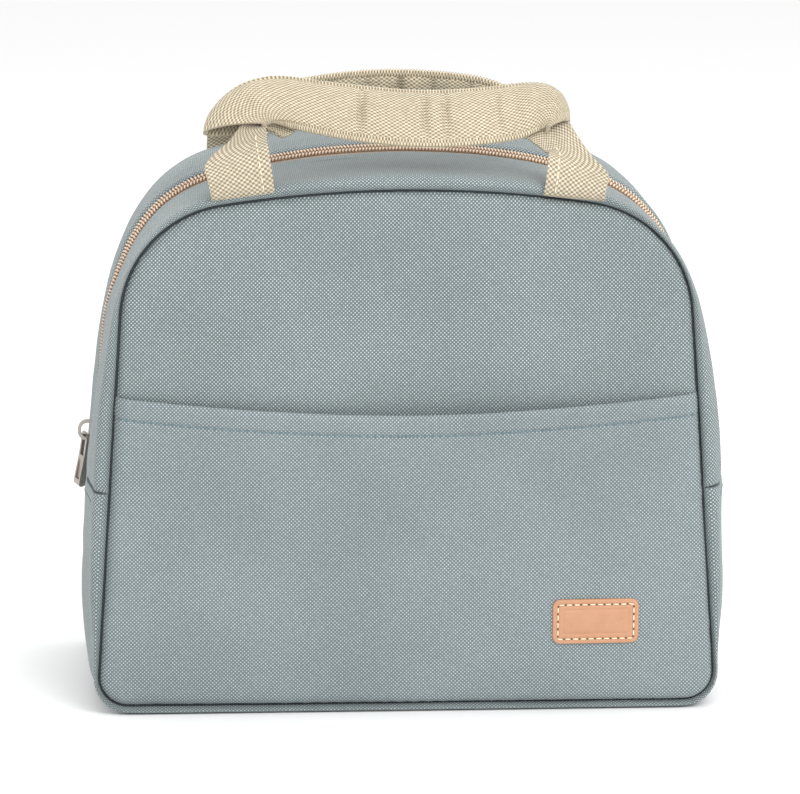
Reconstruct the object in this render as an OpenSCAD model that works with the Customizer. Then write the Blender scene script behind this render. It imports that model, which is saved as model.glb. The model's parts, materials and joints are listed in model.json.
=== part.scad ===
// Insulated lunch bag: padded fabric shell with an arched zip mouth, a slip pocket and two webbing handles.
// Millimetres. +Z is up and -Y is the front. The origin is the middle of the base, where the bag stands.

/* [Body] */
// Width of the front panel across its lower corners
panel_w = 249; // [230:1:260]
// Height of the top seam over the floor, at the middle
panel_top = 213; // [200:1:225]
// Depth from the front seam to the rear seam
bag_depth = 130; // [120:1:150]
// How far the side strip stands out past the seams
bulge = 6.5; // [6:0.1:7.5]
// How far each side leans in from the vertical, in degrees
side_lean = 3.9; // [2:0.1:5]
// Radius of the upper corners
shoulder_r = 48; // [40:1:55]
// Radius of the lower corners
base_r = 13; // [11:1:20]
// Radius of the slow curve along the top
crown_r = 500; // [400:10:700]

/* [Layers] */
// Thickness of the outer fabric
fabric_t = 1; // [0.8:0.1:1.2]
// Thickness of the insulating foam
foam_t = 4; // [3.5:0.1:4.2]
// Thickness of the lining
lining_t = 0.6; // [0.4:0.1:0.7]

/* [Mouth] */
// Height of the seam where the base strip meets the zip strips
zip_end_z = 91; // [86:1:94]
// Height of the line that the front bends along when the mouth opens
fold_z = 132; // [132:1:140]
// Half of the gap that the fabric leaves for the zip
zip_gap = 5; // [4.8:0.1:6]
// Width of each zip tape
tape_w = 14; // [12:0.5:15]
// Height of the slider's middle when the zip is closed
slider_z = 104.5; // [104.5:0.5:108]

/* [Pocket] */
// Height of the pocket's top edge at the middle
pocket_mid_z = 124; // [115:1:125]
// How far the pocket's top edge dips between its ends
pocket_dip = 7; // [3:0.5:7]
// Most that the pocket stands off the front panel
pocket_puff = 5; // [4.8:0.1:6]
// Thickness of the pocket's fabric
pocket_t = 1.2; // [1:0.1:1.4]

/* [Handles] */
// Width of the handle webbing
webbing_w = 27; // [25:0.5:28]
// Thickness of the handle webbing
webbing_t = 1.5; // [1.3:0.1:1.6]
// Distance from the middle of the bag to the middle of each webbing leg
leg_x = 65; // [60:1:68]
// Length of webbing from the seam to the middle of the grip
handle_rise = 42; // [40:1:46]
// How far the grip leans over the bag, in degrees from upright
grip_lean = 50; // [40:1:54]
// Width of the padded grip
grip_w = 30; // [29.5:0.5:31]
// Thickness of the padded grip
grip_t = 7; // [6:0.5:8]

/* [Hidden] */
$fn = 96;

sage = "#8a999b";
cream = "#dccfab";
peach = "#d9a98c";
nickel = "#9a948c";
silver = "#c9ccce";
foam_white = "#efefea";

half_d = bag_depth / 2;
big = 400;

// The seam line runs up each side, round the shoulder and along the slow curve of the top.
base_z = bulge + base_r;
side_h = panel_w / 2 * cos(side_lean) + base_z * sin(side_lean);
crown_z = panel_top - crown_r;
crown_share = (side_h - shoulder_r - crown_z * sin(side_lean)) / (crown_r - shoulder_r);
shoulder_a = side_lean + acos(crown_share);
shoulder_x = (crown_r - shoulder_r) * cos(shoulder_a);
shoulder_z = crown_z + (crown_r - shoulder_r) * sin(shoulder_a);
base_x = (side_h - base_r - base_z * sin(side_lean)) / cos(side_lean);
function side_x(z) = (side_h - z * sin(side_lean)) / cos(side_lean);

// A station is [x, z, dx, dz], where dx and dz point out of the bag. Every layer of the side strip goes
// through the same stations, each at its own distance outside the seam line, so the layers nest.
function arc_stations(x, z, r, from, to, steps) = [
    for (i = [0:steps]) let (a = from + (to - from) * i / steps) [x + r * cos(a), z + r * sin(a), cos(a), sin(a)]
];
function mirrored_stations(list) = [
    for (i = [len(list) - 1:-1:0]) [-list[i][0], list[i][1], -list[i][2], list[i][3]]
];
function side_station(z) = [side_x(z), z, 1 / cos(side_lean), 0];
function out_by(station, v) = [station[0] + v * station[2], station[1] + v * station[3]];
lower_right = arc_stations(base_x, base_z, base_r, -90, side_lean, 7);
upper_right = concat(
    arc_stations(shoulder_x, shoulder_z, shoulder_r, side_lean, shoulder_a, 14),
    arc_stations(0, crown_z, crown_r, shoulder_a + 2, 90, 3)
);
upper_left = [for (i = [1:len(upper_right) - 1]) mirrored_stations(upper_right)[i]];
all_stations = concat(lower_right, upper_right, upper_left, mirrored_stations(lower_right));
function over_top(z) =
    concat([side_station(z)], upper_right, upper_left, mirrored_stations([side_station(z)]));
function under_base(z) =
    concat(mirrored_stations([side_station(z)]), mirrored_stations(lower_right), lower_right, [side_station(z)]);
function up_side(low, high) = [side_station(low), side_station(high)];

// Distances outside the seam line at which each layer begins and ends
fabric_out = bulge;
fabric_in = fabric_out - fabric_t;
foam_in = fabric_in - foam_t;
lining_in = foam_in - lining_t;
edge_y = half_d - bulge;
front_foam_y = -half_d + fabric_t;
front_lining_y = front_foam_y + foam_t;
rear_lining_y = half_d - fabric_t - foam_t - lining_t;

// Zip
tape_t = 0.6;
tape_in = fabric_in - tape_t;
coil_r = 0.9;
coil_near = 0.6;
coil_far = 2.8;
stop_h = 2.5;
stop_z = 95;
coil_end_z = stop_z + stop_h + 1;
foam_from = tape_w + 1.5;
turned_edge = 6;

// Slider, measured out from the seam line at the side of the bag
slider_len = 13;
slider_w = 8.8;
plate_t = 1.1;
plate_play = 0.2;
plate_low = tape_in - plate_t - plate_play;
plate_high = fabric_in + 2 * coil_r + plate_play;
post_w = 0.9;
post_half = 2.4;
plate_clear = 0.3;
crown_rise = 4.3;
crown_in = plate_high + plate_t + crown_rise;
crown_t = 1.4;
crown_w = 2;
crown_len = 8.8;
crown_eye_r = 2.6;
crown_foot = 6;
bar_r = 0.75;
bar_gap = 0.3;
bar_out = crown_in - crown_eye_r + bar_gap;
bar_down = 1.8;
pull_len = 22;
pull_w = 7;
pull_lean = 5;
pull_twist = 20;

// Handle
leg_lean = 2;
leg_up = 17;
bend_r = 10;
corner_r = 16;
strap_clear = 0.5;
strap_y = half_d + webbing_t / 2 + strap_clear;
sleeve_play = 0.6;
station_step = 7;
strap_z = 207.5;

// ---- the seam outline and what follows it ----

// Outline of a panel, or of a layer that lies outside its seam
module outline(v) polygon([for (s = all_stations) out_by(s, v)]);

module upright(y, thickness) {
    translate([0, y + thickness, 0]) rotate([90, 0, 0]) linear_extrude(thickness) children();
}

module between(low, high) {
    intersection() {
        children();
        translate([-big / 2, low]) square([big, high - low]);
    }
}

module both_sides() {
    children();
    mirror([1, 0, 0]) children();
}

// A flat layer of a panel that starts at depth y and goes towards the rear
module panel_layer(y, thickness, low = 0, high = big) {
    upright(y, thickness) between(low, high) outline(0);
}

// A layer of the side strip between two distances outside the seam, two depths and two heights
module ring(outer, inner, y_from, y_to, low = 0, high = big) {
    upright(y_from, y_to - y_from) between(low, high) difference() {
        outline(outer);
        outline(inner);
    }
}

// Sweeps a band through stations. The band's near and far sides are lists of [distance out, depth].
module sweep_band(stations, far, near) {
    m = len(far);
    n = 2 * m;
    section = concat(far, [for (i = [m - 1:-1:0]) near[i]]);
    last = (len(stations) - 1) * n;
    points = [for (s = stations, p = section) let (q = out_by(s, p[0])) [q[0], p[1], q[1]]];
    walls = [for (i = [0:len(stations) - 2], j = [0:n - 1])
        [i * n + j, i * n + (j + 1) % n, (i + 1) * n + (j + 1) % n, (i + 1) * n + j]];
    caps = [for (j = [0:m - 2]) [j, n - 1 - j, n - 2 - j, j + 1]];
    far_caps = [for (f = caps) [for (k = [3:-1:0]) f[k] + last]];
    polyhedron(points, concat(walls, caps, far_caps), convexity = 8);
}

// Section of the outer fabric, rolled over at a seam: side is -1 at the front and 1 at the rear
function roll(r, side) = [for (a = [0:18:90]) [r * sin(a), side * (edge_y + r * cos(a))]];
function reversed(list) = [for (i = [len(list) - 1:-1:0]) list[i]];

module zip_strip(stations, side) color(sage) sweep_band(
    stations,
    side < 0 ? concat(roll(fabric_out, -1), [[fabric_out, -zip_gap]])
        : concat([[fabric_out, zip_gap]], reversed(roll(fabric_out, 1))),
    side < 0 ? concat(roll(fabric_in, -1), [[fabric_in, -zip_gap]])
        : concat([[fabric_in, zip_gap]], reversed(roll(fabric_in, 1)))
);

// ---- side strips ----

module base_gusset() color(sage) sweep_band(
    under_base(zip_end_z),
    concat(roll(fabric_out, -1), reversed(roll(fabric_out, 1))),
    concat(roll(fabric_in, -1), reversed(roll(fabric_in, 1)))
);

// Foam and lining of one side of the zip. side is -1 at the front and 1 at the rear.
module foam_strip(side, low, high) color(foam_white)
    scale([1, side, 1]) ring(fabric_in, foam_in, foam_from, edge_y, low, high);

// The lining turns up beside the foam's edge and lies under the zip tape
module lining_strip(side, low, high) color(silver) scale([1, side, 1]) {
    ring(foam_in, lining_in, foam_from - lining_t, edge_y, low, high);
    ring(tape_in, lining_in, foam_from - lining_t, foam_from, low, high);
    ring(tape_in, tape_in - lining_t, tape_w - turned_edge, foam_from, low, high);
}

module base_foam() {
    color(foam_white) ring(fabric_in, foam_in, -edge_y, edge_y, 0, zip_end_z);
    for (side = [-1, 1]) foam_strip(side, zip_end_z, fold_z);
}

module base_lining() {
    color(silver) ring(foam_in, lining_in, -edge_y, edge_y, 0, zip_end_z);
    for (side = [-1, 1]) lining_strip(side, zip_end_z, fold_z);
}

// ---- zip ----

module tape(side, low, high) color(cream)
    scale([1, side, 1]) ring(tape_in + tape_t, tape_in, coil_near, tape_w, low, high);

module coil(side, stations) {
    far = fabric_in + 2 * coil_r;
    outside = [[far - 0.5, coil_near], [far, coil_near + 0.6], [far, coil_far - 0.6], [far - 0.5, coil_far]];
    inside = [for (p = outside) [fabric_in, p[1]]];
    color(peach) sweep_band(
        stations,
        side > 0 ? outside : [for (p = reversed(outside)) [p[0], -p[1]]],
        side > 0 ? inside : [for (p = reversed(inside)) [p[0], -p[1]]]
    );
}

module end_stop() {
    long = 2 * coil_far;
    chamfer = 1;
    translate([-side_x(stop_z), 0, stop_z]) rotate([0, side_lean, 0]) rotate([0, 0, 180])
        translate([fabric_in, -coil_far, 0]) difference() {
            cube([stop_h, long, stop_h]);
            for (y = [0, long]) translate([stop_h, y, 0]) rotate([0, 0, 45])
                cube([chamfer, chamfer, 4 * stop_h], center = true);
        }
}

module zip_end_stops() color(nickel) {
    end_stop();
    mirror([1, 0, 0]) end_stop();
}

// ---- zip slider, on the left side of the bag ----

// Local x points out of the bag, y to the front and z up along the zip
module at_slider() {
    translate([-side_x(slider_z), 0, slider_z]) rotate([0, side_lean, 0]) rotate([0, 0, 180]) children();
}

// A plate seen from outside: wide shoulders where the halves enter, and narrow where they leave closed
module plate_outline() {
    shoulder = slider_w / 2;
    waist = slider_w / 2 - 0.6;
    half = slider_len / 2;
    polygon([
        [-shoulder, -half + 2.2], [-shoulder + 1.6, -half], [shoulder - 1.6, -half], [shoulder, -half + 2.2],
        [shoulder, -half + 5], [waist, half - 1.2], [waist - 1.2, half], [-waist + 1.2, half],
        [-waist, half - 1.2], [-shoulder, -half + 5],
    ]);
}

module plate(from, thickness) {
    translate([from, 0, 0]) rotate([90, 0, 90]) linear_extrude(thickness) plate_outline();
}

module slider_body() color(nickel) at_slider() {
    rim = coil_far + plate_clear;
    flange_low = tape_in + tape_t + plate_clear;
    difference() {
        plate(flange_low, plate_high + plate_t - flange_low);
        translate([0, -rim, -slider_len]) cube([plate_high, 2 * rim, 2 * slider_len]);
    }
    plate(plate_low, plate_t);
    translate([plate_low, 0, -slider_len / 2 + 3]) rotate([90, 0, 90])
        linear_extrude(plate_high - plate_low + plate_t)
            polygon([
                [0, -post_half], [post_w / 2, -0.6], [post_w / 2, 0.8],
                [0, post_half], [-post_w / 2, 0.8], [-post_w / 2, -0.6],
            ]);
}

// Stadium-shaped loop over the slider, standing in the plane of the zip
module crown_outline(grow) {
    r = crown_eye_r + grow;
    reach = crown_len / 2 - crown_eye_r - crown_t;
    for (z = [-1, 1]) translate([0, z * reach]) circle(r);
    translate([-r, -reach]) square([2 * r, 2 * reach]);
    translate([-crown_foot, -reach - r]) square([crown_foot, 2 * (reach + r)]);
}

module slider_crown() color(nickel) at_slider() {
    intersection() {
        translate([crown_in - crown_eye_r, crown_w / 2, 0]) rotate([90, 0, 0]) linear_extrude(crown_w) difference() {
            crown_outline(crown_t);
            crown_outline(0);
        }
        translate([plate_high + plate_t, -crown_w, -crown_len]) cube([crown_len, 2 * crown_w, 2 * crown_len]);
    }
}

// Flat pull with a long eye, a sunk panel and a thicker gripping end. It hangs along -z from the bar.
module pull_shape() {
    eye_w = 4.2;
    arm = (pull_w - eye_w) / 2;
    thin = 1.5;
    thick = 2.6;
    eye_end = -9;
    translate([0, pull_w / 2 - 0.2, 0]) rotate([90, 0, 0]) cylinder(r = bar_r, h = pull_w - 0.4);
    for (side = [-1, 1]) translate([-thin / 2, side * (pull_w - arm) / 2 - arm / 2, eye_end - 1])
        cube([thin, arm, 1 - eye_end]);
    difference() {
        translate([0, pull_w / 2, 0]) rotate([90, 0, 0]) linear_extrude(pull_w) polygon([
            [-thin / 2, eye_end], [thin / 2, eye_end], [thick / 2, -pull_len + 4], [thick / 2, -pull_len + 0.8],
            [thick / 2 - 0.8, -pull_len], [-thick / 2 + 0.8, -pull_len], [-thick / 2, -pull_len + 0.8],
            [-thick / 2, -pull_len + 4],
        ]);
        for (side = [-1, 1]) {
            translate([side * thick / 2, 0, (eye_end - pull_len) / 2 + 0.4])
                cube([thick - 1.1, pull_w - 2.4, pull_len + eye_end - 5], center = true);
            translate([0, side * pull_w / 2, -pull_len]) rotate([45, 0, 0]) cube([thick * 2, 1.2, 1.2], center = true);
        }
    }
}

module pull_tab() color(nickel) at_slider() translate([bar_out, 0, -bar_down])
    rotate([0, -pull_lean, 0]) rotate([0, 0, pull_twist]) pull_shape();

// ---- panels ----

module pocket_top() {
    half_w = side_x(pocket_mid_z);
    r = half_w * half_w / (2 * pocket_dip);
    translate([0, big / 2, pocket_mid_z + r]) rotate([90, 0, 0]) cylinder(r = r, h = big, $fn = 360);
}

// Slip pocket: flat where it is sewn down, and puffed out round the middle of its open edge
module front_pocket() color(sage) {
    spread = 95;
    r = spread * spread / (2 * pocket_puff);
    y = -half_d - pocket_puff + r;
    difference() {
        union() {
            panel_layer(-half_d - pocket_t, pocket_t, bulge, fold_z);
            intersection() {
                panel_layer(-half_d - 3 * pocket_puff, 3 * pocket_puff, bulge, fold_z);
                translate([0, y, pocket_mid_z]) sphere(r + pocket_t, $fn = 360);
            }
        }
        intersection() {
            translate([0, y, pocket_mid_z]) sphere(r, $fn = 360);
            translate([-big / 2, -half_d - big, 0]) cube([big, big, big]);
        }
        pocket_top();
    }
}

module leather_patch() color(peach) {
    size = [35, 18.5];
    corner = 3;
    translate([76, -half_d - pocket_t, 37.8]) rotate([90, 0, 0]) linear_extrude(1.3) {
        for (x = [-1, 1], z = [-1, 1])
            translate([x * (size.x / 2 - corner), z * (size.y / 2 - corner)]) circle(corner);
        square([size.x, size.y - 2 * corner], center = true);
        square([size.x - 2 * corner, size.y], center = true);
    }
}

// ---- handles ----

// A handle is cut flat, as an upside-down U, and then bent over the bag. s runs up the webbing from the seam.
bend_len = bend_r * (grip_lean - leg_lean) * PI / 180;
function bend_a(s) = leg_lean + (grip_lean - leg_lean) * max(0, min(1, (s - leg_up) / bend_len));
function bent(s) =
    let (
        a = bend_a(s),
        straight = min(s, leg_up),
        beyond = max(0, s - leg_up - bend_len)
    ) [
        straight * sin(leg_lean) + bend_r * (cos(leg_lean) - cos(a)) + beyond * sin(grip_lean),
        straight * cos(leg_lean) + bend_r * (sin(a) - sin(leg_lean)) + beyond * cos(grip_lean),
    ];
function lifted(x, s, out) =
    let (p = bent(s), a = bend_a(s)) [x, -strap_y + p[0] - out * cos(a), strap_z + p[1] + out * sin(a)];

// Middle line of the flat U, from one leg to the other, as [x, s, direction across]
rise_to = handle_rise - corner_r;
turn_x = leg_x - corner_r;
leg_stations = [for (s = [0:2:rise_to - 1]) [-leg_x, s, 180]];
turn_stations = [for (a = [180:-9:90]) [-turn_x + corner_r * cos(a), rise_to + corner_r * sin(a), a]];
top_stations = [for (x = [-turn_x + station_step:station_step:-1]) [x, handle_rise, 90]];
half_stations = concat(leg_stations, turn_stations, top_stations);
function mirrored(list) = [for (i = [len(list) - 1:-1:0]) [-list[i][0], list[i][1], 180 - list[i][2]]];
strap_stations = concat(half_stations, [[0, handle_rise, 90]], mirrored(half_stations));
grip_half = concat(turn_stations, top_stations);
grip_stations = concat(grip_half, [[0, handle_rise, 90]], mirrored(grip_half));

function ring_at(station, section) = [
    for (p = section) lifted(station[0] + p[0] * cos(station[2]), station[1] + p[0] * sin(station[2]), p[1])
];
function band_faces(rings, n) = [
    for (i = [0:rings - 2], j = [0:n - 1])
        [i * n + j, i * n + (j + 1) % n, (i + 1) * n + (j + 1) % n, (i + 1) * n + j]
];
function end_face(first, n, flip) = [for (j = [0:n - 1]) first + (flip ? n - 1 - j : j)];
function turned(faces) = [for (f = faces) reversed(f)];
function rounded_ring(a, b, power, n) = [
    for (k = [0:n - 1]) let (c = cos(k * 360 / n + 15), d = sin(k * 360 / n + 15))
        [a * sign(c) * pow(abs(c), 2 / power), b * sign(d) * pow(abs(d), 2 / power)]
];

module handle_strap() {
    w = webbing_w / 2;
    t = webbing_t / 2;
    section = [[-w, -t], [w, -t], [w, t], [-w, t]];
    count = len(strap_stations);
    points = [for (st = strap_stations, p = ring_at(st, section)) p];
    polyhedron(points, concat(
        turned(band_faces(count, len(section))), [end_face(0, len(section), false)],
        [end_face((count - 1) * len(section), len(section), true)]
    ), convexity = 6);
}

// Padded sleeve that the webbing runs through, open at both ends
module handle_grip() {
    n = 12;
    count = len(grip_stations);
    outer = rounded_ring(grip_w / 2, grip_t / 2, 3, n);
    inner = rounded_ring(webbing_w / 2 + sleeve_play, webbing_t / 2 + sleeve_play, 12, n);
    points = concat(
        [for (st = grip_stations, p = ring_at(st, outer)) p],
        [for (st = grip_stations, p = ring_at(st, inner)) p]
    );
    first_inner = count * n;
    last = (count - 1) * n;
    mouths = [for (j = [0:n - 1]) let (k = (j + 1) % n) [j, k, first_inner + k, first_inner + j]];
    far_mouths = [for (j = [0:n - 1]) let (k = (j + 1) % n)
        [last + k, last + j, first_inner + last + j, first_inner + last + k]];
    polyhedron(points, concat(
        turned(band_faces(count, n)),
        [for (f = band_faces(count, n)) [for (i = f) i + first_inner]],
        mouths, far_mouths
    ), convexity = 8);
}

base_gusset();
base_foam();
base_lining();
color(sage) panel_layer(-half_d, fabric_t, 0, fold_z);  // front_panel_lower
color(foam_white) panel_layer(front_foam_y, foam_t, 0, fold_z);  // front_foam_lower
color(silver) panel_layer(front_lining_y, lining_t, 0, fold_z);  // front_lining_lower
color(sage) panel_layer(half_d - fabric_t, fabric_t);  // rear_panel
color(foam_white) panel_layer(rear_lining_y + lining_t, foam_t);  // rear_foam
color(silver) panel_layer(rear_lining_y, lining_t);  // rear_lining
zip_strip(over_top(zip_end_z), 1);  // rear_zip_gusset
foam_strip(1, fold_z, big);  // rear_zip_foam
lining_strip(1, fold_z, big);  // rear_zip_lining
both_sides() zip_strip(up_side(zip_end_z, fold_z), -1);  // front_zip_gusset_ends
tape(-1, zip_end_z, fold_z);  // front_zip_tape_ends
both_sides() coil(-1, up_side(coil_end_z, fold_z));  // front_zip_coil_ends
tape(1, zip_end_z, big);  // rear_zip_tape
coil(1, over_top(coil_end_z));  // rear_zip_coil
zip_end_stops();
front_pocket();
leather_patch();
color(sage) panel_layer(-half_d, fabric_t, fold_z);  // front_panel_upper
color(foam_white) panel_layer(front_foam_y, foam_t, fold_z);  // front_foam_upper
color(silver) panel_layer(front_lining_y, lining_t, fold_z);  // front_lining_upper
zip_strip(over_top(fold_z), -1);  // front_zip_gusset
foam_strip(-1, fold_z, big);  // front_zip_foam
lining_strip(-1, fold_z, big);  // front_zip_lining
tape(-1, fold_z, big);  // front_zip_tape
coil(-1, over_top(fold_z));  // front_zip_coil
color(cream) handle_strap();  // front_handle_strap
color(cream) handle_grip();  // front_handle_grip
color(cream) mirror([0, 1, 0]) handle_strap();  // rear_handle_strap
color(cream) mirror([0, 1, 0]) handle_grip();  // rear_handle_grip
slider_body();
slider_crown();
pull_tab();
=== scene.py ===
"""Looks of a soft insulated lunch bag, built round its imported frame.

The frame's axes hold everywhere: x points right, y points to the rear and z points up, in metres. A place
on the side strip is given by s, the distance along the seam line from the middle of the base, by y, and by
v, the distance outside the seam line.
"""

from __future__ import annotations

import json
import logging
import math
from dataclasses import dataclass, field
from enum import Enum

import bmesh
import bpy
import numpy as np
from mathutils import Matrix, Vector, noise

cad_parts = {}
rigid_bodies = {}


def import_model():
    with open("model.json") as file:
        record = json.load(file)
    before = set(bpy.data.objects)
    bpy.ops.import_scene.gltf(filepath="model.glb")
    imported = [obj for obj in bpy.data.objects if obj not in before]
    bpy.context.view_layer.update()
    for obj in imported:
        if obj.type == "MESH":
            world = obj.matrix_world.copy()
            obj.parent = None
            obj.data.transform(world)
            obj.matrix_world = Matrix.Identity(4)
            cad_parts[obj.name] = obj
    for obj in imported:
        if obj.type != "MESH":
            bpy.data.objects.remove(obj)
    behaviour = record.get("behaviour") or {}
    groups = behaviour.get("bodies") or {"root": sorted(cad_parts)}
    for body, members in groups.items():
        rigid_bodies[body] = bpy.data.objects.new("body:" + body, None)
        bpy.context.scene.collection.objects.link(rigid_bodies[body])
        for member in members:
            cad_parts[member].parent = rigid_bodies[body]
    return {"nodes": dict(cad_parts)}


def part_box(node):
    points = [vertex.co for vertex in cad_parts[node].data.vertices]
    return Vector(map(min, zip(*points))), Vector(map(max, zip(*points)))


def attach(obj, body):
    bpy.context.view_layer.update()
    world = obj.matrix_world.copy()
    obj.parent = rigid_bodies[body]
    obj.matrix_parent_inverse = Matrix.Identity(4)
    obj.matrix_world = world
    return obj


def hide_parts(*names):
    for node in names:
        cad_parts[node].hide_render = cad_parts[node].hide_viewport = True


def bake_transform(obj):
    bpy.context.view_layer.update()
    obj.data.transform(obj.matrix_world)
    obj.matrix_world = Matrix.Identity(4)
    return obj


MM = 0.001
LOG = logging.getLogger("lunch_bag")


class Side(Enum):
    """Front or rear half of the bag, as the sign of y."""

    FRONT = -1
    REAR = 1

    @property
    def word(self) -> str:
        """The side's name, as pieces and nodes spell it."""
        return self.name.lower()


# ------------------------------------------------------------
# Curves and noise
# ------------------------------------------------------------


def smooth_curve(points: list[tuple[float, ...]], count: int) -> np.ndarray:
    """Runs a smooth curve through points and spaces places evenly along it.

    Args:
        points: Places that the curve passes through, of any dimension.
        count: How many places to return.

    Returns:
        An array with one row per place.
    """
    p = np.array(points, float)
    padded = np.vstack([2 * p[0] - p[1], p, 2 * p[-1] - p[-2]])
    t = np.linspace(0, 1, 24, endpoint=False)[:, None]
    fine = []
    for a, b, c, d in zip(padded[:-3], padded[1:-2], padded[2:-1], padded[3:]):
        square, cube = 2 * a - 5 * b + 4 * c - d, 3 * b - a - 3 * c + d
        fine.append(0.5 * (2 * b + (c - a) * t + square * t**2 + cube * t**3))
    curve = np.vstack([*fine, p[-1:]])
    run = run_length(curve)
    return places_along(np.linspace(0, run[-1], count), run, curve)


def run_length(points: np.ndarray) -> np.ndarray:
    """Distance travelled along points up to each of them."""
    return np.concatenate([[0], np.cumsum(np.linalg.norm(np.diff(points, axis=0), axis=1))])


def places_along(at: np.ndarray, run: np.ndarray, points: np.ndarray) -> np.ndarray:
    """Reads a path at distances along it.

    Args:
        at: The distances.
        run: The distance up to each of the path's points.
        points: The path's points, one row each.

    Returns:
        One row per distance.
    """
    return np.column_stack([np.interp(at, run, column) for column in points.T])


def swept_uv(u: np.ndarray, v: np.ndarray) -> np.ndarray:
    """UVs of a grid, from the u of each row and the v of each column."""
    return np.stack(np.broadcast_arrays(u[:, None], v[None, :]), axis=-1)


def soft_noise(points: np.ndarray, size: float, seed: float = 0.0) -> np.ndarray:
    """Smooth noise from -1 to 1 over places in space.

    Args:
        points: Places, with the last axis of length three.
        size: Distance over which the noise changes.
        seed: Offset that picks another pattern.

    Returns:
        An array shaped like points without its last axis.
    """
    flat = points.reshape(-1, 3) / size + seed
    return np.array([noise.noise(Vector(p)) for p in flat]).reshape(points.shape[:-1])


@dataclass(frozen=True)
class Waves:
    """Smooth unevenness of one size and height."""

    size: float
    height: float
    seed: float

    def at(self, spots: np.ndarray) -> np.ndarray:
        """The unevenness at places in space."""
        return soft_noise(spots, self.size, self.seed) * self.height


def bell(distance: np.ndarray, width: float) -> np.ndarray:
    """A smooth bump of height one that fades over width."""
    return np.exp(-((distance / width) ** 2))


# ------------------------------------------------------------
# Mesh building
# ------------------------------------------------------------


class Shell:
    """Gathers grids of points into one closed mesh, with a UV map in metres."""

    def __init__(self) -> None:
        """Starts an empty shell."""
        self._points: list[np.ndarray] = []
        self._faces: list[np.ndarray] = []
        self._uvs: list[np.ndarray] = []
        self._count = 0

    def grid(self, points: np.ndarray, uv: np.ndarray, closed: bool = False) -> None:
        """Adds a grid of four-sided faces.

        Args:
            points: Places, shaped (rows, columns, 3).
            uv: Their UVs, shaped (rows, columns, 2), with one more column where the grid is closed.
            closed: Whether the last column joins the first.
        """
        rows, cols = points.shape[:2]
        index = np.arange(rows * cols).reshape(rows, cols) + self._count
        if closed:
            index = np.hstack([index, index[:, :1]])
        corners = [index[:-1, :-1], index[:-1, 1:], index[1:, 1:], index[1:, :-1]]
        places = [uv[:-1, :-1], uv[:-1, 1:], uv[1:, 1:], uv[1:, :-1]]
        self._faces.append(np.stack(corners, axis=-1).reshape(-1, 4))
        self._uvs.append(np.stack(places, axis=2).reshape(-1, 4, 2))
        self._points.append(points.reshape(-1, 3))
        self._count += rows * cols

    def wall(self, outer: np.ndarray, inner: np.ndarray, uv: np.ndarray, closed: bool = False) -> None:
        """Adds a wall between two grids of the same shape, closed along its borders.

        Args:
            outer: Places on the outer face.
            inner: Places on the inner face.
            uv: UVs of the outer face, which the inner face shares.
            closed: Whether the last column joins the first.
        """
        self.grid(outer, uv, closed)
        self.grid(inner[::-1], uv[::-1], closed)
        for row in (0, -1):
            self.rim(outer[row], inner[row], uv[row], closed)
        if not closed:
            for col in (0, -1):
                self.rim(outer[:, col], inner[:, col], uv[:, col])

    def rim(self, outer: np.ndarray, inner: np.ndarray, uv: np.ndarray, closed: bool = False) -> None:
        """Joins two matching borders with one row of faces, which share their UVs."""
        self.grid(np.stack([outer, inner]), np.stack([uv, uv]), closed)

    def caps(self, rows: np.ndarray, middles: np.ndarray, uv: np.ndarray) -> None:
        """Closes both ends of a swept section with a fan round its middle.

        Args:
            rows: The swept rows, shaped (rows, columns, 3).
            middles: The middle of each row.
            uv: The rows' UVs.
        """
        for end in (0, -1):
            self.rim(rows[end], np.broadcast_to(middles[end], rows[end].shape), uv[end], closed=True)

    def build(self, name: str, sharp_deg: float = 50.0) -> bpy.types.Object:
        """Makes the object, welded, with its faces pointing outwards.

        Args:
            name: The piece's name.
            sharp_deg: Edges that bend more than this stay sharp.

        Returns:
            The new object, in the scene.
        """
        mesh = bpy.data.meshes.new(name)
        faces = np.vstack(self._faces)
        mesh.from_pydata(np.vstack(self._points).tolist(), [], faces.tolist())
        layer = mesh.uv_layers.new(name="UVMap")
        layer.data.foreach_set("uv", np.vstack(self._uvs).astype(np.float32).ravel())
        weld(mesh)
        return place_in_scene(name, mesh, sharp_deg)


def weld(mesh: bpy.types.Mesh) -> None:
    """Merges doubled vertices and turns all faces outwards.

    Args:
        mesh: The mesh to mend in place.
    """
    work = bmesh.new()
    work.from_mesh(mesh)
    bmesh.ops.remove_doubles(work, verts=work.verts, dist=2e-6)
    bmesh.ops.dissolve_degenerate(work, edges=work.edges, dist=1e-7)
    bmesh.ops.recalc_face_normals(work, faces=work.faces)
    work.to_mesh(mesh)
    work.free()


def place_in_scene(name: str, mesh: bpy.types.Mesh, sharp_deg: float = 50.0) -> bpy.types.Object:
    """Wraps a mesh in an object at the origin and shades it smooth.

    Args:
        name: The piece's name.
        mesh: The mesh, in the frame's coordinates.
        sharp_deg: Edges that bend more than this stay sharp.

    Returns:
        The new object.
    """
    piece = bpy.data.objects.new(name, mesh)
    bpy.context.collection.objects.link(piece)
    select_only(piece)
    bpy.ops.object.shade_smooth_by_angle(angle=math.radians(sharp_deg))
    return piece


def select_only(piece: bpy.types.Object) -> None:
    """Selects one object and makes it active."""
    bpy.ops.object.select_all(action="DESELECT")
    piece.select_set(True)
    bpy.context.view_layer.objects.active = piece


def take_mesh(piece: bpy.types.Object) -> tuple[np.ndarray, list[list[int]]]:
    """Reads a modelled object's points and faces, and removes the object.

    Args:
        piece: A helper object that stands for one copy of something repeated.

    Returns:
        Its points and its faces.
    """
    points = np.array([piece.matrix_world @ v.co for v in piece.data.vertices])
    faces = [list(f.vertices) for f in piece.data.polygons]
    mesh = piece.data
    bpy.data.objects.remove(piece)
    bpy.data.meshes.remove(mesh)
    return points, faces


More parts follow.
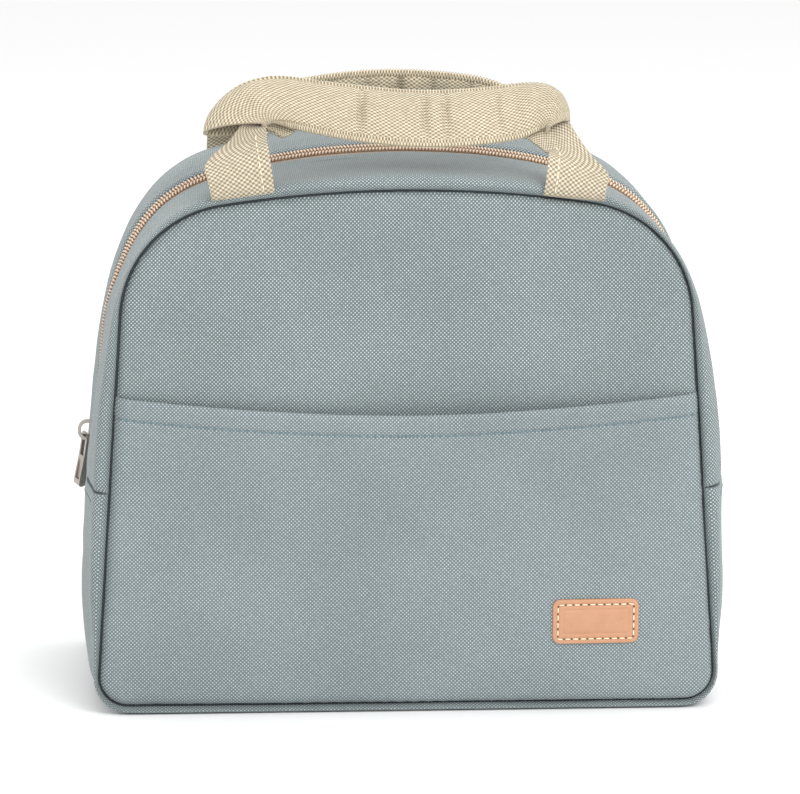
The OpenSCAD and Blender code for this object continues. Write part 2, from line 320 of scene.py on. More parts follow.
def repeat_along(
    name: str, points: np.ndarray, faces: list[list[int]], places: np.ndarray, axes: np.ndarray
) -> bpy.types.Object:
    """Copies one small shape to many places as a single piece.

    Args:
        name: The piece's name.
        points: The shape's points, round its own origin.
        faces: The shape's faces.
        places: Where each copy goes, shaped (copies, 3).
        axes: Each copy's x, y and z axes as rows, shaped (copies, 3, 3).

    Returns:
        The new object.
    """
    copies = np.einsum("pk,ckj->cpj", points, axes) + places[:, None, :]
    many = [[i + k * len(points) for i in face] for k in range(len(places)) for face in faces]
    mesh = bpy.data.meshes.new(name)
    mesh.from_pydata(copies.reshape(-1, 3).tolist(), [], many)
    work = bmesh.new()
    work.from_mesh(mesh)
    bmesh.ops.recalc_face_normals(work, faces=work.faces)
    work.to_mesh(mesh)
    work.free()
    return place_in_scene(name, mesh, 80.0)


def unit(vectors: np.ndarray) -> np.ndarray:
    """Vectors of length one, in the same directions."""
    return vectors / np.maximum(np.linalg.norm(vectors, axis=-1, keepdims=True), 1e-12)


@dataclass(frozen=True)
class Thread:
    """A run of stitches in one thread."""

    length: float = 2.6 * MM
    gap: float = 0.7 * MM
    width: float = 0.55 * MM
    flatness: float = 0.8
    proud: float = 0.15

    def _one_stitch(self) -> tuple[np.ndarray, list[list[int]]]:
        """Models one stitch: a slim bead with its long axis along x."""
        bpy.ops.object.select_all(action="DESELECT")
        bpy.ops.mesh.primitive_uv_sphere_add(segments=6, ring_count=5, radius=0.5)
        stitch = bpy.context.object
        bpy.ops.object.mode_set(mode="EDIT")
        bpy.ops.transform.rotate(value=math.pi / 2, orient_axis="Y", center_override=(0, 0, 0))
        bpy.ops.transform.resize(value=(self.length, self.width, self.width * self.flatness))
        bpy.ops.object.mode_set(mode="OBJECT")
        return take_mesh(stitch)

    def sew(self, name: str, path: np.ndarray, out: np.ndarray) -> bpy.types.Object:
        """Lays stitches along a path.

        Args:
            name: The piece's name.
            path: Places along the seam, on the cloth's surface.
            out: The direction away from the cloth at each place.

        Returns:
            The stitches as one piece.
        """
        run = run_length(path)
        count = max(2, int(run[-1] / (self.length + self.gap)))
        at = (np.arange(count) + 0.5) * run[-1] / count
        step = 0.5 * MM
        along = unit(places_along(at + step, run, path) - places_along(at - step, run, path))
        across = unit(np.cross(places_along(at, run, out), along))
        up = np.cross(along, across)
        points, faces = self._one_stitch()
        places = places_along(at, run, path) + up * self.width * self.proud
        return repeat_along(name, points, faces, places, np.stack([along, across, up], axis=1))


# ------------------------------------------------------------
# Finishes
# ------------------------------------------------------------


class Nodes:
    """Short calls for building a node tree."""

    def __init__(self, tree: bpy.types.NodeTree) -> None:
        """Works on one tree.

        Args:
            tree: The material's or group's node tree.
        """
        self.tree = tree

    def add(self, kind: str, **settings: object) -> bpy.types.Node:
        """Adds a node.

        Args:
            kind: Its type, such as "ShaderNodeMath".
            **settings: Attributes to set on it.

        Returns:
            The node.
        """
        node = self.tree.nodes.new(kind)
        for key, value in settings.items():
            setattr(node, key, value)
        return node

    def put(self, value: object, socket: bpy.types.NodeSocket) -> None:
        """Links a socket to socket, or sets its number or colour."""
        if isinstance(value, bpy.types.NodeSocket):
            self.tree.links.new(value, socket)
        else:
            socket.default_value = value

    def math(self, operation: str, *values: object, clamp: bool = False) -> bpy.types.NodeSocket:
        """Adds a math node and returns its result."""
        node = self.add("ShaderNodeMath", operation=operation, use_clamp=clamp)
        for value, socket in zip(values, node.inputs):
            self.put(value, socket)
        return node.outputs[0]

    def ramp(
        self, value: object, low: float, high: float, to_low: float = 0.0, to_high: float = 1.0
    ) -> bpy.types.NodeSocket:
        """Eases a value from one range to another.

        Args:
            value: The value or its socket.
            low: Where the first range starts.
            high: Where the first range ends.
            to_low: What low becomes.
            to_high: What high becomes.

        Returns:
            The eased value.
        """
        node = self.add("ShaderNodeMapRange", interpolation_type="SMOOTHSTEP")
        keys = ("Value", "From Min", "From Max", "To Min", "To Max")
        for key, number in zip(keys, (value, low, high, to_low, to_high)):
            self.put(number, node.inputs[key])
        return node.outputs["Result"]

    def relief(self, height: object, strength: float, distance: float) -> bpy.types.NodeSocket:
        """Adds a bump node and returns its normal.

        Args:
            height: The height's socket.
            strength: How much of the bump shows.
            distance: How high a height of one stands.

        Returns:
            The bent normal.
        """
        node = self.add("ShaderNodeBump")
        node.inputs["Strength"].default_value = strength
        node.inputs["Distance"].default_value = distance
        self.put(height, node.inputs["Height"])
        return node.outputs[0]

    def mix(self, share: object, first: object, second: object, blend: str = "MIX") -> bpy.types.NodeSocket:
        """Mixes two colours and returns the result."""
        node = self.add("ShaderNodeMix", data_type="RGBA", blend_type=blend)
        self.put(share, node.inputs[0])
        self.put(first, node.inputs[6])
        self.put(second, node.inputs[7])
        return node.outputs[2]

    def noise(self, where: object, scale: float, detail: float = 2.0) -> bpy.types.NodeSocket:
        """Adds a noise texture and returns its value."""
        node = self.add("ShaderNodeTexNoise")
        self.put(where, node.inputs["Vector"])
        node.inputs["Scale"].default_value = scale
        node.inputs["Detail"].default_value = detail
        return node.outputs["Fac"]


def rgba(red: float, green: float, blue: float) -> tuple[float, float, float, float]:
    """A colour given as screen values from 0 to 255, as the linear colour a shader takes."""
    return (*(((c / 255 + 0.055) / 1.055) ** 2.4 if c > 10 else c / 3295 for c in (red, green, blue)), 1.0)


class SharedGroups:
    """Node groups that several finishes use."""

    @staticmethod
    def _start(
        name: str, inputs: dict[str, tuple[str, float | None]], outputs: list[str]
    ) -> bpy.types.NodeTree:
        """Makes an empty group with named sockets.

        Args:
            name: The group's name.
            inputs: Each input's type and value.
            outputs: The names of its outputs, which are numbers.

        Returns:
            The group's node tree.
        """
        tree = bpy.data.node_groups.new(name, "ShaderNodeTree")
        for label, (kind, value) in inputs.items():
            socket = tree.interface.new_socket(label, in_out="INPUT", socket_type=kind)
            if value is not None:
                socket.default_value = value
        for label in outputs:
            tree.interface.new_socket(label, in_out="OUTPUT", socket_type="NodeSocketFloat")
        return tree

    @classmethod
    def woven_dots(cls) -> bpy.types.NodeTree:
        """Thread crossings in staggered rows: their height and each one's shade."""
        if "woven_dots" in bpy.data.node_groups:
            return bpy.data.node_groups["woven_dots"]
        inputs = {
            "Vector": ("NodeSocketVector", None),
            "Pitch U": ("NodeSocketFloat", 0.76 * MM),
            "Pitch V": ("NodeSocketFloat", 0.76 * MM),
            "Wander": ("NodeSocketFloat", 0.12),
        }
        tree = cls._start("woven_dots", inputs, ["Height", "Shade"])
        n = Nodes(tree)
        given = n.add("NodeGroupInput").outputs
        wander = n.noise(given["Vector"], 220.0)
        wander = n.math("MULTIPLY", n.math("SUBTRACT", wander, 0.5), given["Wander"])
        split = n.add("ShaderNodeSeparateXYZ")
        n.put(given["Vector"], split.inputs[0])
        u = n.math("ADD", n.math("DIVIDE", split.outputs[0], given["Pitch U"]), wander)
        v = n.math("ADD", n.math("DIVIDE", split.outputs[1], given["Pitch V"]), wander)
        waves = [n.math("SINE", n.math("MULTIPLY", axis, math.pi)) for axis in (u, v)]
        lobes = n.math("MULTIPLY", *waves)
        cell = n.add("ShaderNodeCombineXYZ")
        n.put(n.math("FLOOR", u), cell.inputs[0])
        n.put(n.math("FLOOR", v), cell.inputs[1])
        white = n.add("ShaderNodeTexWhiteNoise", noise_dimensions="2D")
        n.put(cell.outputs[0], white.inputs["Vector"])
        out = n.add("NodeGroupOutput").inputs
        n.put(n.math("MULTIPLY_ADD", lobes, 0.5, 0.5), out["Height"])
        n.put(white.outputs["Value"], out["Shade"])
        return tree

    @classmethod
    def soft_tone(cls) -> bpy.types.NodeTree:
        """Slow and fine unevenness of a surface's tone, round a middle of one half."""
        if "soft_tone" in bpy.data.node_groups:
            return bpy.data.node_groups["soft_tone"]
        tree = cls._start("soft_tone", {"Scale": ("NodeSocketFloat", 14.0)}, ["Slow", "Fine"])
        n = Nodes(tree)
        given = n.add("NodeGroupInput").outputs
        where = n.add("ShaderNodeTexCoord").outputs["Object"]
        out = n.add("NodeGroupOutput").inputs
        slow = n.add("ShaderNodeTexNoise")
        n.put(where, slow.inputs["Vector"])
        n.put(given["Scale"], slow.inputs["Scale"])
        n.put(slow.outputs["Fac"], out["Slow"])
        n.put(n.noise(where, 900.0, 3.0), out["Fine"])
        return tree


@dataclass(frozen=True)
class Finish:
    """What every finish has: a name, the record's slot and a way to dress a piece."""

    name: str
    slot: str

    def material(self) -> bpy.types.Material:
        """Builds the material once and returns it after that."""
        if self.name in bpy.data.materials:
            return bpy.data.materials[self.name]
        made = bpy.data.materials.new(self.name)
        made.use_nodes = True
        nodes = Nodes(made.node_tree)
        self._shade(nodes, made.node_tree.nodes["Principled BSDF"].inputs)
        return made

    def _shade(self, n: Nodes, surface: bpy.types.bpy_prop_collection) -> None:
        """Fills in the surface's sockets.

        Args:
            n: The material's node tree.
            surface: The inputs of its surface shader.
        """
        raise NotImplementedError

    def dress(self, piece: bpy.types.Object) -> bpy.types.Object:
        """Puts the material on a piece."""
        piece.data.materials.clear()
        piece.data.materials.append(self.material())
        return piece


@dataclass(frozen=True)
class WovenFinish(Finish):
    """Cloth or webbing with raised thread crossings."""

    ground: tuple[float, ...] = rgba(96, 106, 108)
    dots: tuple[float, ...] = rgba(190, 200, 199)
    pitch_u: float = 0.76 * MM
    pitch_v: float = 0.76 * MM
    dot_share: float = 0.9
    cover: tuple[float, float] = (0.525, 0.875)
    relief: float = 0.16 * MM
    strength: float = 0.8
    roughness: float = 0.72
    sheen: float = 0.15

    def _shade(self, n: Nodes, surface: bpy.types.bpy_prop_collection) -> None:
        """Light thread crossings on a darker ground, with uneven shades."""
        uv = n.add("ShaderNodeUVMap", uv_map="UVMap").outputs[0]
        weave = n.add("ShaderNodeGroup", node_tree=SharedGroups.woven_dots())
        n.put(uv, weave.inputs["Vector"])
        weave.inputs["Pitch U"].default_value = self.pitch_u
        weave.inputs["Pitch V"].default_value = self.pitch_v
        tone = n.add("ShaderNodeGroup", node_tree=SharedGroups.soft_tone())
        lit = n.math("MULTIPLY_ADD", weave.outputs["Shade"], 0.3, self.dot_share - 0.25)
        raised = n.ramp(weave.outputs["Height"], *self.cover)
        colour = n.mix(n.math("MULTIPLY", raised, lit), self.ground, self.dots)
        slow = n.ramp(tone.outputs["Slow"], 0.3, 0.7, 0.93, 1.05)
        both = n.math("MULTIPLY", slow, n.ramp(tone.outputs["Fine"], 0.3, 0.7, 0.94, 1.05))
        shade = n.add("ShaderNodeCombineColor")
        for socket in shade.inputs:
            n.put(both, socket)
        n.put(n.mix(1.0, colour, shade.outputs[0], "MULTIPLY"), surface["Base Color"])
        gloss = n.ramp(weave.outputs["Height"], 0.0, 1.0, self.roughness + 0.1, self.roughness - 0.08)
        n.put(gloss, surface["Roughness"])
        surface["Sheen Weight"].default_value = self.sheen
        surface["Sheen Roughness"].default_value = 0.5
        surface["Specular IOR Level"].default_value = 0.35
        fuzz = n.math("MULTIPLY_ADD", tone.outputs["Fine"], 0.25, weave.outputs["Height"])
        n.put(n.relief(fuzz, self.strength, self.relief), surface["Normal"])


@dataclass(frozen=True)
class LeatherFinish(Finish):
    """Smooth leather with fine pores."""

    colour: tuple[float, ...] = rgba(191, 143, 112)
    deep: tuple[float, ...] = rgba(180, 131, 100)

    def _shade(self, n: Nodes, surface: bpy.types.bpy_prop_collection) -> None:
        """Mottled colour, fine creases and pores."""
        where = n.add("ShaderNodeTexCoord").outputs["Object"]
        tone = n.add("ShaderNodeGroup", node_tree=SharedGroups.soft_tone())
        tone.inputs["Scale"].default_value = 160.0
        cells = n.add("ShaderNodeTexVoronoi", feature="DISTANCE_TO_EDGE")
        n.put(where, cells.inputs["Vector"])
        cells.inputs["Scale"].default_value = 1900.0
        pores = n.ramp(cells.outputs["Distance"], 0.0, 0.25)
        mottle = n.ramp(tone.outputs["Slow"], 0.35, 0.75, 0.0, 0.55)
        shade = n.mix(n.math("MULTIPLY", n.math("SUBTRACT", 1.0, pores), 0.4), self.colour, self.deep)
        n.put(n.mix(mottle, shade, self.deep), surface["Base Color"])
        n.put(n.ramp(tone.outputs["Fine"], 0.3, 0.7, 0.5, 0.62), surface["Roughness"])
        surface["Specular IOR Level"].default_value = 0.4
        n.put(n.relief(pores, 0.5, 0.05 * MM), surface["Normal"])


@dataclass(frozen=True)
class PlainFinish(Finish):
    """A surface of one colour with fine grain: thread, nylon, foam, film, metal, or painted shade in the seam
    grooves and needle holes.
    """

    colour: tuple[float, ...] = rgba(200, 200, 200)
    roughness: float = 0.5
    metallic: float = 0.0
    grain: float = 0.1
    relief: float = 0.03 * MM
    grain_scale: float = 700.0
    stretch: tuple[float, float, float] = (1.0, 1.0, 1.0)

    def _shade(self, n: Nodes, surface: bpy.types.bpy_prop_collection) -> None:
        """One colour, made uneven in tone, gloss and height by the same grain."""
        where = n.add("ShaderNodeTexCoord").outputs["Object"]
        mapping = n.add("ShaderNodeMapping")
        mapping.inputs["Scale"].default_value = self.stretch
        n.put(where, mapping.inputs["Vector"])
        fine = n.noise(mapping.outputs[0], self.grain_scale, 4.0)
        tone = n.add("ShaderNodeGroup", node_tree=SharedGroups.soft_tone())
        tone.inputs["Scale"].default_value = 40.0
        dark = tuple(c * (1 - 2.2 * self.grain) for c in self.colour[:3]) + (1.0,)
        slow = n.ramp(tone.outputs["Slow"], 0.3, 0.7, 0.6, 1.0)
        share = n.math("MULTIPLY", n.ramp(fine, 0.35, 0.65, 1.0, 0.0), slow)
        n.put(n.mix(share, self.colour, dark), surface["Base Color"])
        low, high = max(0.05, self.roughness - self.grain), min(1.0, self.roughness + self.grain)
        n.put(n.ramp(fine, 0.3, 0.7, low, high), surface["Roughness"])
        n.put(self.metallic, surface["Metallic"])
        n.put(n.relief(fine, 0.5, self.relief), surface["Normal"])


BAG_CLOTH = WovenFinish("bag_cloth", "bag_fabric")
POCKET_CLOTH = WovenFinish(
    "pocket_cloth", "bag_fabric", ground=rgba(103, 113, 116), dots=rgba(182, 193, 193), relief=0.13 * MM,
)
STRAP_WEBBING = WovenFinish(
    "strap_webbing", "webbing", ground=rgba(136, 124, 102), dots=rgba(216, 206, 184), pitch_u=1.15 * MM,
    pitch_v=0.88 * MM, cover=(0.3, 0.72), relief=0.3 * MM, strength=0.9, roughness=0.7, sheen=0.1,
)
GRIP_WEBBING = WovenFinish(
    "grip_webbing", "webbing", ground=rgba(133, 119, 94), dots=rgba(214, 204, 181), pitch_u=1.15 * MM,
    pitch_v=0.82 * MM, cover=(0.28, 0.7), relief=0.26 * MM, strength=0.9, roughness=0.7, sheen=0.1,
)
EDGE_CORD = WovenFinish(
    "edge_cord", "webbing", ground=rgba(140, 125, 98), dots=rgba(226, 216, 194), pitch_u=0.62 * MM,
    pitch_v=1.5 * MM, cover=(0.3, 0.7), relief=0.3 * MM, strength=0.9, roughness=0.7, sheen=0.1,
)
ZIP_TAPE = WovenFinish(
    "woven_tape", "zip_tape", ground=rgba(182, 158, 134), dots=rgba(222, 200, 176), pitch_u=0.4 * MM,
    pitch_v=0.4 * MM, relief=0.08 * MM, strength=0.6, roughness=0.75,
)
COIL_NYLON = PlainFinish("coil_nylon", "zip_coil", colour=rgba(232, 208, 184), roughness=0.42, grain=0.06)
COIL_CORD = PlainFinish("coil_cord", "zip_coil", colour=rgba(158, 128, 106), roughness=0.7, grain=0.12)
CLOTH_THREAD = PlainFinish("cloth_thread", "bag_fabric", colour=rgba(104, 127, 136), roughness=0.6)
# Painted shadow: the near-black colour of the cords laid in the seam grooves, where shade falls.
GROOVE_SHADOW = PlainFinish("groove_thread", "bag_fabric", colour=rgba(40, 47, 50), roughness=0.8, grain=0.1)
CREAM_THREAD = PlainFinish("cream_thread", "webbing", colour=rgba(246, 232, 200), roughness=0.55, grain=0.06)
# Painted shade: the dark brown of the beads that stand in for the shade inside the needle holes.
PAINTED_HOLE_SHADE = PlainFinish("needle_hole", "patch_leather", colour=rgba(96, 66, 46), roughness=0.8, grain=0.05)
PATCH_LEATHER = LeatherFinish("sewn_leather", "patch_leather")
LINING_FILM = PlainFinish(
    "lining_film", "lining", colour=rgba(206, 209, 212), roughness=0.34, metallic=0.55, grain=0.06,
    relief=0.4 * MM, grain_scale=90.0,
)
SATIN_NICKEL = PlainFinish(
    "satin_nickel", "zip_metal", colour=rgba(176, 170, 162), roughness=0.34, metallic=1.0, grain=0.07,
    relief=0.01 * MM, grain_scale=1200.0, stretch=(1.0, 1.0, 0.2),
)


# ------------------------------------------------------------
# The seam line
# ------------------------------------------------------------


@dataclass
class SeamLine:
    """The closed line of the front and rear seams.

    It has a flat base, leaning sides, round shoulders and a slow curve over the top.
    """

    half_width: float
    top: float
    base: float
    width_z: float = 19.5 * MM
    lean_deg: float = 3.9
    shoulder_radius: float = 48 * MM
    base_radius: float = 12 * MM
    crown_radius: float = 500 * MM
    half: float = field(init=False)

    def __post_init__(self) -> None:
        """Works out the centres and lengths of the line's stretches."""
        lean = math.radians(self.lean_deg)
        self.base_z = self.base + self.base_radius
        side = self.half_width * math.cos(lean) + self.width_z * math.sin(lean)
        self.crown_z = self.top - self.crown_radius
        inward = self.crown_radius - self.shoulder_radius
        share = (side - self.shoulder_radius - self.crown_z * math.sin(lean)) / inward
        self.shoulder_angle = lean + math.acos(share)
        self.shoulder_x = inward * math.cos(self.shoulder_angle)
        self.shoulder_z = self.crown_z + inward * math.sin(self.shoulder_angle)
        self.base_x = (side - self.base_radius - self.base_z * math.sin(lean)) / math.cos(lean)
        step = self.shoulder_radius - self.base_radius
        rise = self.shoulder_z - self.base_z + step * math.sin(lean)
        self.lean = lean
        self.side = side
        lengths = [
            self.base_x,
            self.base_radius * (math.pi / 2 + lean),
            math.hypot(self.shoulder_x - self.base_x + step * math.cos(lean), rise),
            self.shoulder_radius * (self.shoulder_angle - lean),
            self.crown_radius * (math.pi / 2 - self.shoulder_angle),
        ]
        self.stops = np.concatenate([[0], np.cumsum(lengths)])
        self.half = float(self.stops[-1])

    def at(self, s: np.ndarray) -> tuple[np.ndarray, np.ndarray, np.ndarray, np.ndarray]:
        """Places on the line.

        Args:
            s: Distances along it from the middle of the base, to the right. They may be negative.

        Returns:
            x, z and the outward direction's x and z at each distance.
        """
        around = np.mod(np.asarray(s, float), 2 * self.half)
        left = around > self.half
        d = np.where(left, 2 * self.half - around, around)
        a, b, c, e, _ = (d - stop for stop in self.stops[:-1])
        corner = -math.pi / 2 + b / self.base_radius
        shoulder = self.lean + e / self.shoulder_radius
        crown = self.shoulder_angle + (d - self.stops[4]) / self.crown_radius
        side_x = self.base_x + self.base_radius * math.cos(self.lean) - c * math.sin(self.lean)
        side_z = self.base_z + self.base_radius * math.sin(self.lean) + c * math.cos(self.lean)
        stretch = np.digitize(d, self.stops[1:-1])
        level, leaning = np.full_like(d, -math.pi / 2), np.full_like(d, self.lean)
        angle = np.choose(stretch, [level, corner, leaning, shoulder, crown])
        nx, nz = np.cos(angle), np.sin(angle)
        x = np.choose(stretch, [
            a, self.base_x + self.base_radius * nx, side_x,
            self.shoulder_x + self.shoulder_radius * nx, self.crown_radius * nx,
        ])
        z = np.choose(stretch, [
            np.full_like(d, self.base), self.base_z + self.base_radius * nz, side_z,
            self.shoulder_z + self.shoulder_radius * nz, self.crown_z + self.crown_radius * nz,
        ])
        return np.where(left, -x, x), z, np.where(left, -nx, nx), nz

    def s_at_height(self, z: float) -> float:
        """Distance along the line to a height on its straight right side."""
        start = self.base_z + self.base_radius * math.sin(self.lean)
        return float(self.stops[2]) + (z - start) / math.cos(self.lean)

    def half_width_at(self, z: np.ndarray) -> np.ndarray:
        """Half of the panel's width at heights below its shoulders."""
        drop = np.clip(self.base_z - z, 0, self.base_radius)
        rounded = self.base_x + np.sqrt(self.base_radius**2 - drop**2)
        straight = (self.side - z * math.sin(self.lean)) / math.cos(self.lean)
        return np.where(z < self.base_z, np.minimum(rounded, straight), straight)

    def inset(self, x: np.ndarray, z: np.ndarray) -> np.ndarray:
        """Distance of places inside the line from the line."""
        lx, lz, _, _ = self.at(np.linspace(0, 2 * self.half, 720, endpoint=False))
        spots = np.column_stack([x.ravel(), z.ravel()])
        nearest = [np.hypot(lx - px, lz - pz).min() for px, pz in spots]
        return np.array(nearest).reshape(x.shape)


# ------------------------------------------------------------
# Body
# ------------------------------------------------------------


@dataclass
class StripSwell:
    """How far the side strip stands outside the seam line, place by place.

    Each row of the table is a place and five distances in mm: the rolls beside the front and rear seams, the
    middles of the front and rear halves, and the top of the zip.
    """

    seam: SeamLine
    by_height: tuple[tuple[float, ...], ...] = (
        (15, 1.8, 1.8, 4.2, 4.2, 3.6), (25, 2.6, 2.6, 6.4, 6.4, 5.2), (50, 5.6, 5.6, 9.2, 9.4, 7.3),
        (85, 6.8, 6.8, 9.8, 10.4, 7.3), (105, 6.6, 6.8, 9.0, 9.7, 7.3), (124, 6.4, 6.8, 8.0, 9.2, 7.3),
        (143, 5.0, 5.8, 6.2, 8.0, 7.3), (157, 3.7, 4.4, 4.0, 6.2, 6.7),
    )
    by_top: tuple[tuple[float, ...], ...] = (
        (113, 1.6, 2.4, 1.2, 3.4, 2.4), (106, 1.6, 2.4, 1.1, 3.2, 2.4), (98, 2.4, 4.0, 1.9, 4.6, 3.4),
        (80, 3.8, 7.0, 2.8, 7.8, 4.7), (54, 5.4, 10.2, 5.6, 11.6, 8.4), (30, 5.9, 11.0, 6.9, 13.0, 9.8),
        (0, 6.0, 11.4, 7.3, 13.4, 10.3),
    )
    join_z: float = 91 * MM
    join_reach: float = 22 * MM
    tuck: float = 0.7 * MM

    def __post_init__(self) -> None:
        """Turns the table's places into distances along the seam line."""
        flat = [(0.0, *[3.1] * 5), (self.seam.base_x, *[3.0] * 5)]
        side = [(self.seam.s_at_height(z * MM), *rest) for z, *rest in self.by_height]
        line = np.linspace(0, self.seam.half, 2000)
        x, z, _, _ = self.seam.at(line)
        upper = z > 150 * MM
        top = [(float(np.interp(-at * MM, -x[upper], line[upper])), *rest) for at, *rest in self.by_top]
        rows = np.array([flat[0], flat[1], *side, *top])
        places = np.linspace(0, self.seam.half, 400)
        curves = [np.interp(places, rows[:, 0], rows[:, k]) for k in range(1, 6)]
        kernel = np.hanning(25) / np.hanning(25).sum()
        self._places = places
        wide = [np.pad(curve, 12, mode="reflect") for curve in curves]
        self._curves = [np.convolve(curve, kernel, mode="valid") * MM for curve in wide]

    def at(self, s: float, side: Side) -> tuple[float, float, float]:
        """The roll, the middle of one half and the top of the zip, at a distance along the seam line."""
        around = float(np.mod(s, 2 * self.seam.half))
        near = min(around, 2 * self.seam.half - around)
        values = [float(np.interp(near, self._places, curve)) for curve in self._curves]
        half = 0 if side is Side.FRONT else 1
        return values[half], values[2 + half], values[4]

    def under_zip(self, s: float) -> float:
        """How far the middle of the base strip stands out, as it comes up to the end of the zip."""
        _, middle, zip_top = self.at(s, Side.REAR)
        height = float(self.seam.at(np.array([s]))[1][0])
        share = float(bell(height - self.join_z, self.join_reach))
        return middle + (min(middle, zip_top - self.tuck) - middle) * share


@dataclass
class PanelInflation:
    """A flat sheet of cloth, held along the seam line and blown up by a cloth simulation.

    The sheet is a square mesh over the whole panel. It has a little more cloth than the seam line can
    hold, so it puckers towards the corners as it swells.
    """

    seam: SeamLine
    cell: float = 4.0 * MM
    frames: int = 24
    pressure: float = 3.0
    extra_cloth: float = 0.012
    heights: np.ndarray = field(init=False)

    def __post_init__(self) -> None:
        """Runs the simulation and keeps the swell, from 0 at the seam to 1 where it is largest."""
        reach = self.seam.side + 6 * MM
        self._xs = np.arange(-reach, reach + self.cell, self.cell)
        self._zs = np.arange(self.seam.base - 6 * MM, self.seam.top + 6 * MM + self.cell, self.cell)
        x, z = np.meshgrid(self._xs, self._zs)
        held = ~self._inside(x, z)
        sheet = self._sheet(x, z)
        group = sheet.vertex_groups.new(name="held")
        group.add(np.flatnonzero(held.ravel()).tolist(), 1.0, "REPLACE")
        swell = self._simulate(sheet, x.shape)
        swell[held] = 0.0
        self.heights = self._soften(swell) / float(np.percentile(swell[~held], 97))

    def _inside(self, x: np.ndarray, z: np.ndarray) -> np.ndarray:
        """Whether each place lies inside the seam line."""
        lx, lz, nx, nz = self.seam.at(np.linspace(0, 2 * self.seam.half, 720, endpoint=False))
        nearest = [int(np.argmin(np.hypot(lx - a, lz - b))) for a, b in zip(x.ravel(), z.ravel())]
        away = (x.ravel() - lx[nearest]) * nx[nearest] + (z.ravel() - lz[nearest]) * nz[nearest]
        return (away < -0.5 * MM).reshape(x.shape)

    def _sheet(self, x: np.ndarray, z: np.ndarray) -> bpy.types.Object:
        """Makes the flat sheet, with a trace of unevenness that lets it pucker."""
        spots = np.stack([x, 0 * x, z], axis=-1)
        spots[..., 1] = -soft_noise(spots, 18 * MM, 6.3) * 0.2 * MM
        rows, cols = x.shape
        index = np.arange(rows * cols).reshape(rows, cols)
        corners = [index[:-1, :-1], index[:-1, 1:], index[1:, 1:], index[1:, :-1]]
        faces = np.stack(corners, axis=-1).reshape(-1, 4)
        mesh = bpy.data.meshes.new("panel_sheet")
        mesh.from_pydata(spots.reshape(-1, 3).tolist(), [], faces.tolist())
        return place_in_scene("panel_sheet", mesh)

    def _simulate(self, sheet: bpy.types.Object, shape: tuple[int, int]) -> np.ndarray:
        """Blows the sheet up and returns how far it moved, towards the front."""
        cloth = sheet.modifiers.new("swell", "CLOTH")
        settings = cloth.settings
        settings.quality = 8
        settings.mass = 0.3
        settings.tension_stiffness = settings.compression_stiffness = 40
        settings.bending_stiffness = 0.6
        settings.shrink_min = -self.extra_cloth
        settings.use_pressure = True
        settings.uniform_pressure_force = self.pressure
        settings.vertex_group_mass = "held"
        settings.effector_weights.gravity = 0.0
        cloth.point_cache.frame_start, cloth.point_cache.frame_end = 1, self.frames
        scene = bpy.context.scene
        for frame in range(1, self.frames + 1):
            scene.frame_set(frame)
        shaped = sheet.evaluated_get(bpy.context.evaluated_depsgraph_get()).to_mesh()
        places = np.empty(3 * len(shaped.vertices), np.float32)
        shaped.vertices.foreach_get("co", places)
        sheet.evaluated_get(bpy.context.evaluated_depsgraph_get()).to_mesh_clear()
        scene.frame_set(1)
        take_mesh(sheet)
        return np.abs(places.reshape(-1, 3)[:, 1].astype(float)).reshape(shape)

    @staticmethod
    def _soften(swell: np.ndarray) -> np.ndarray:
        """Evens the swell out over one cell, which hides the steps of the held border."""
        padded = np.pad(swell, 1, mode="edge")
        down = 0.25 * padded[:-2] + 0.5 * padded[1:-1] + 0.25 * padded[2:]
        return 0.25 * down[:, :-2] + 0.5 * down[:, 1:-1] + 0.25 * down[:, 2:]

    def at(self, x: np.ndarray, z: np.ndarray) -> np.ndarray:
        """The swell at places on the panel."""
        column = np.clip((x - self._xs[0]) / self.cell, 0, len(self._xs) - 1.001)
        row = np.clip((z - self._zs[0]) / self.cell, 0, len(self._zs) - 1.001)
        i, j = row.astype(int), column.astype(int)
        down, right = row - i, column - j
        down, right = (share * share * (3 - 2 * share) for share in (down, right))
        h = self.heights
        upper = h[i, j] * (1 - right) + h[i, j + 1] * right
        lower = h[i + 1, j] * (1 - right) + h[i + 1, j + 1] * right
        return upper * (1 - down) + lower * down


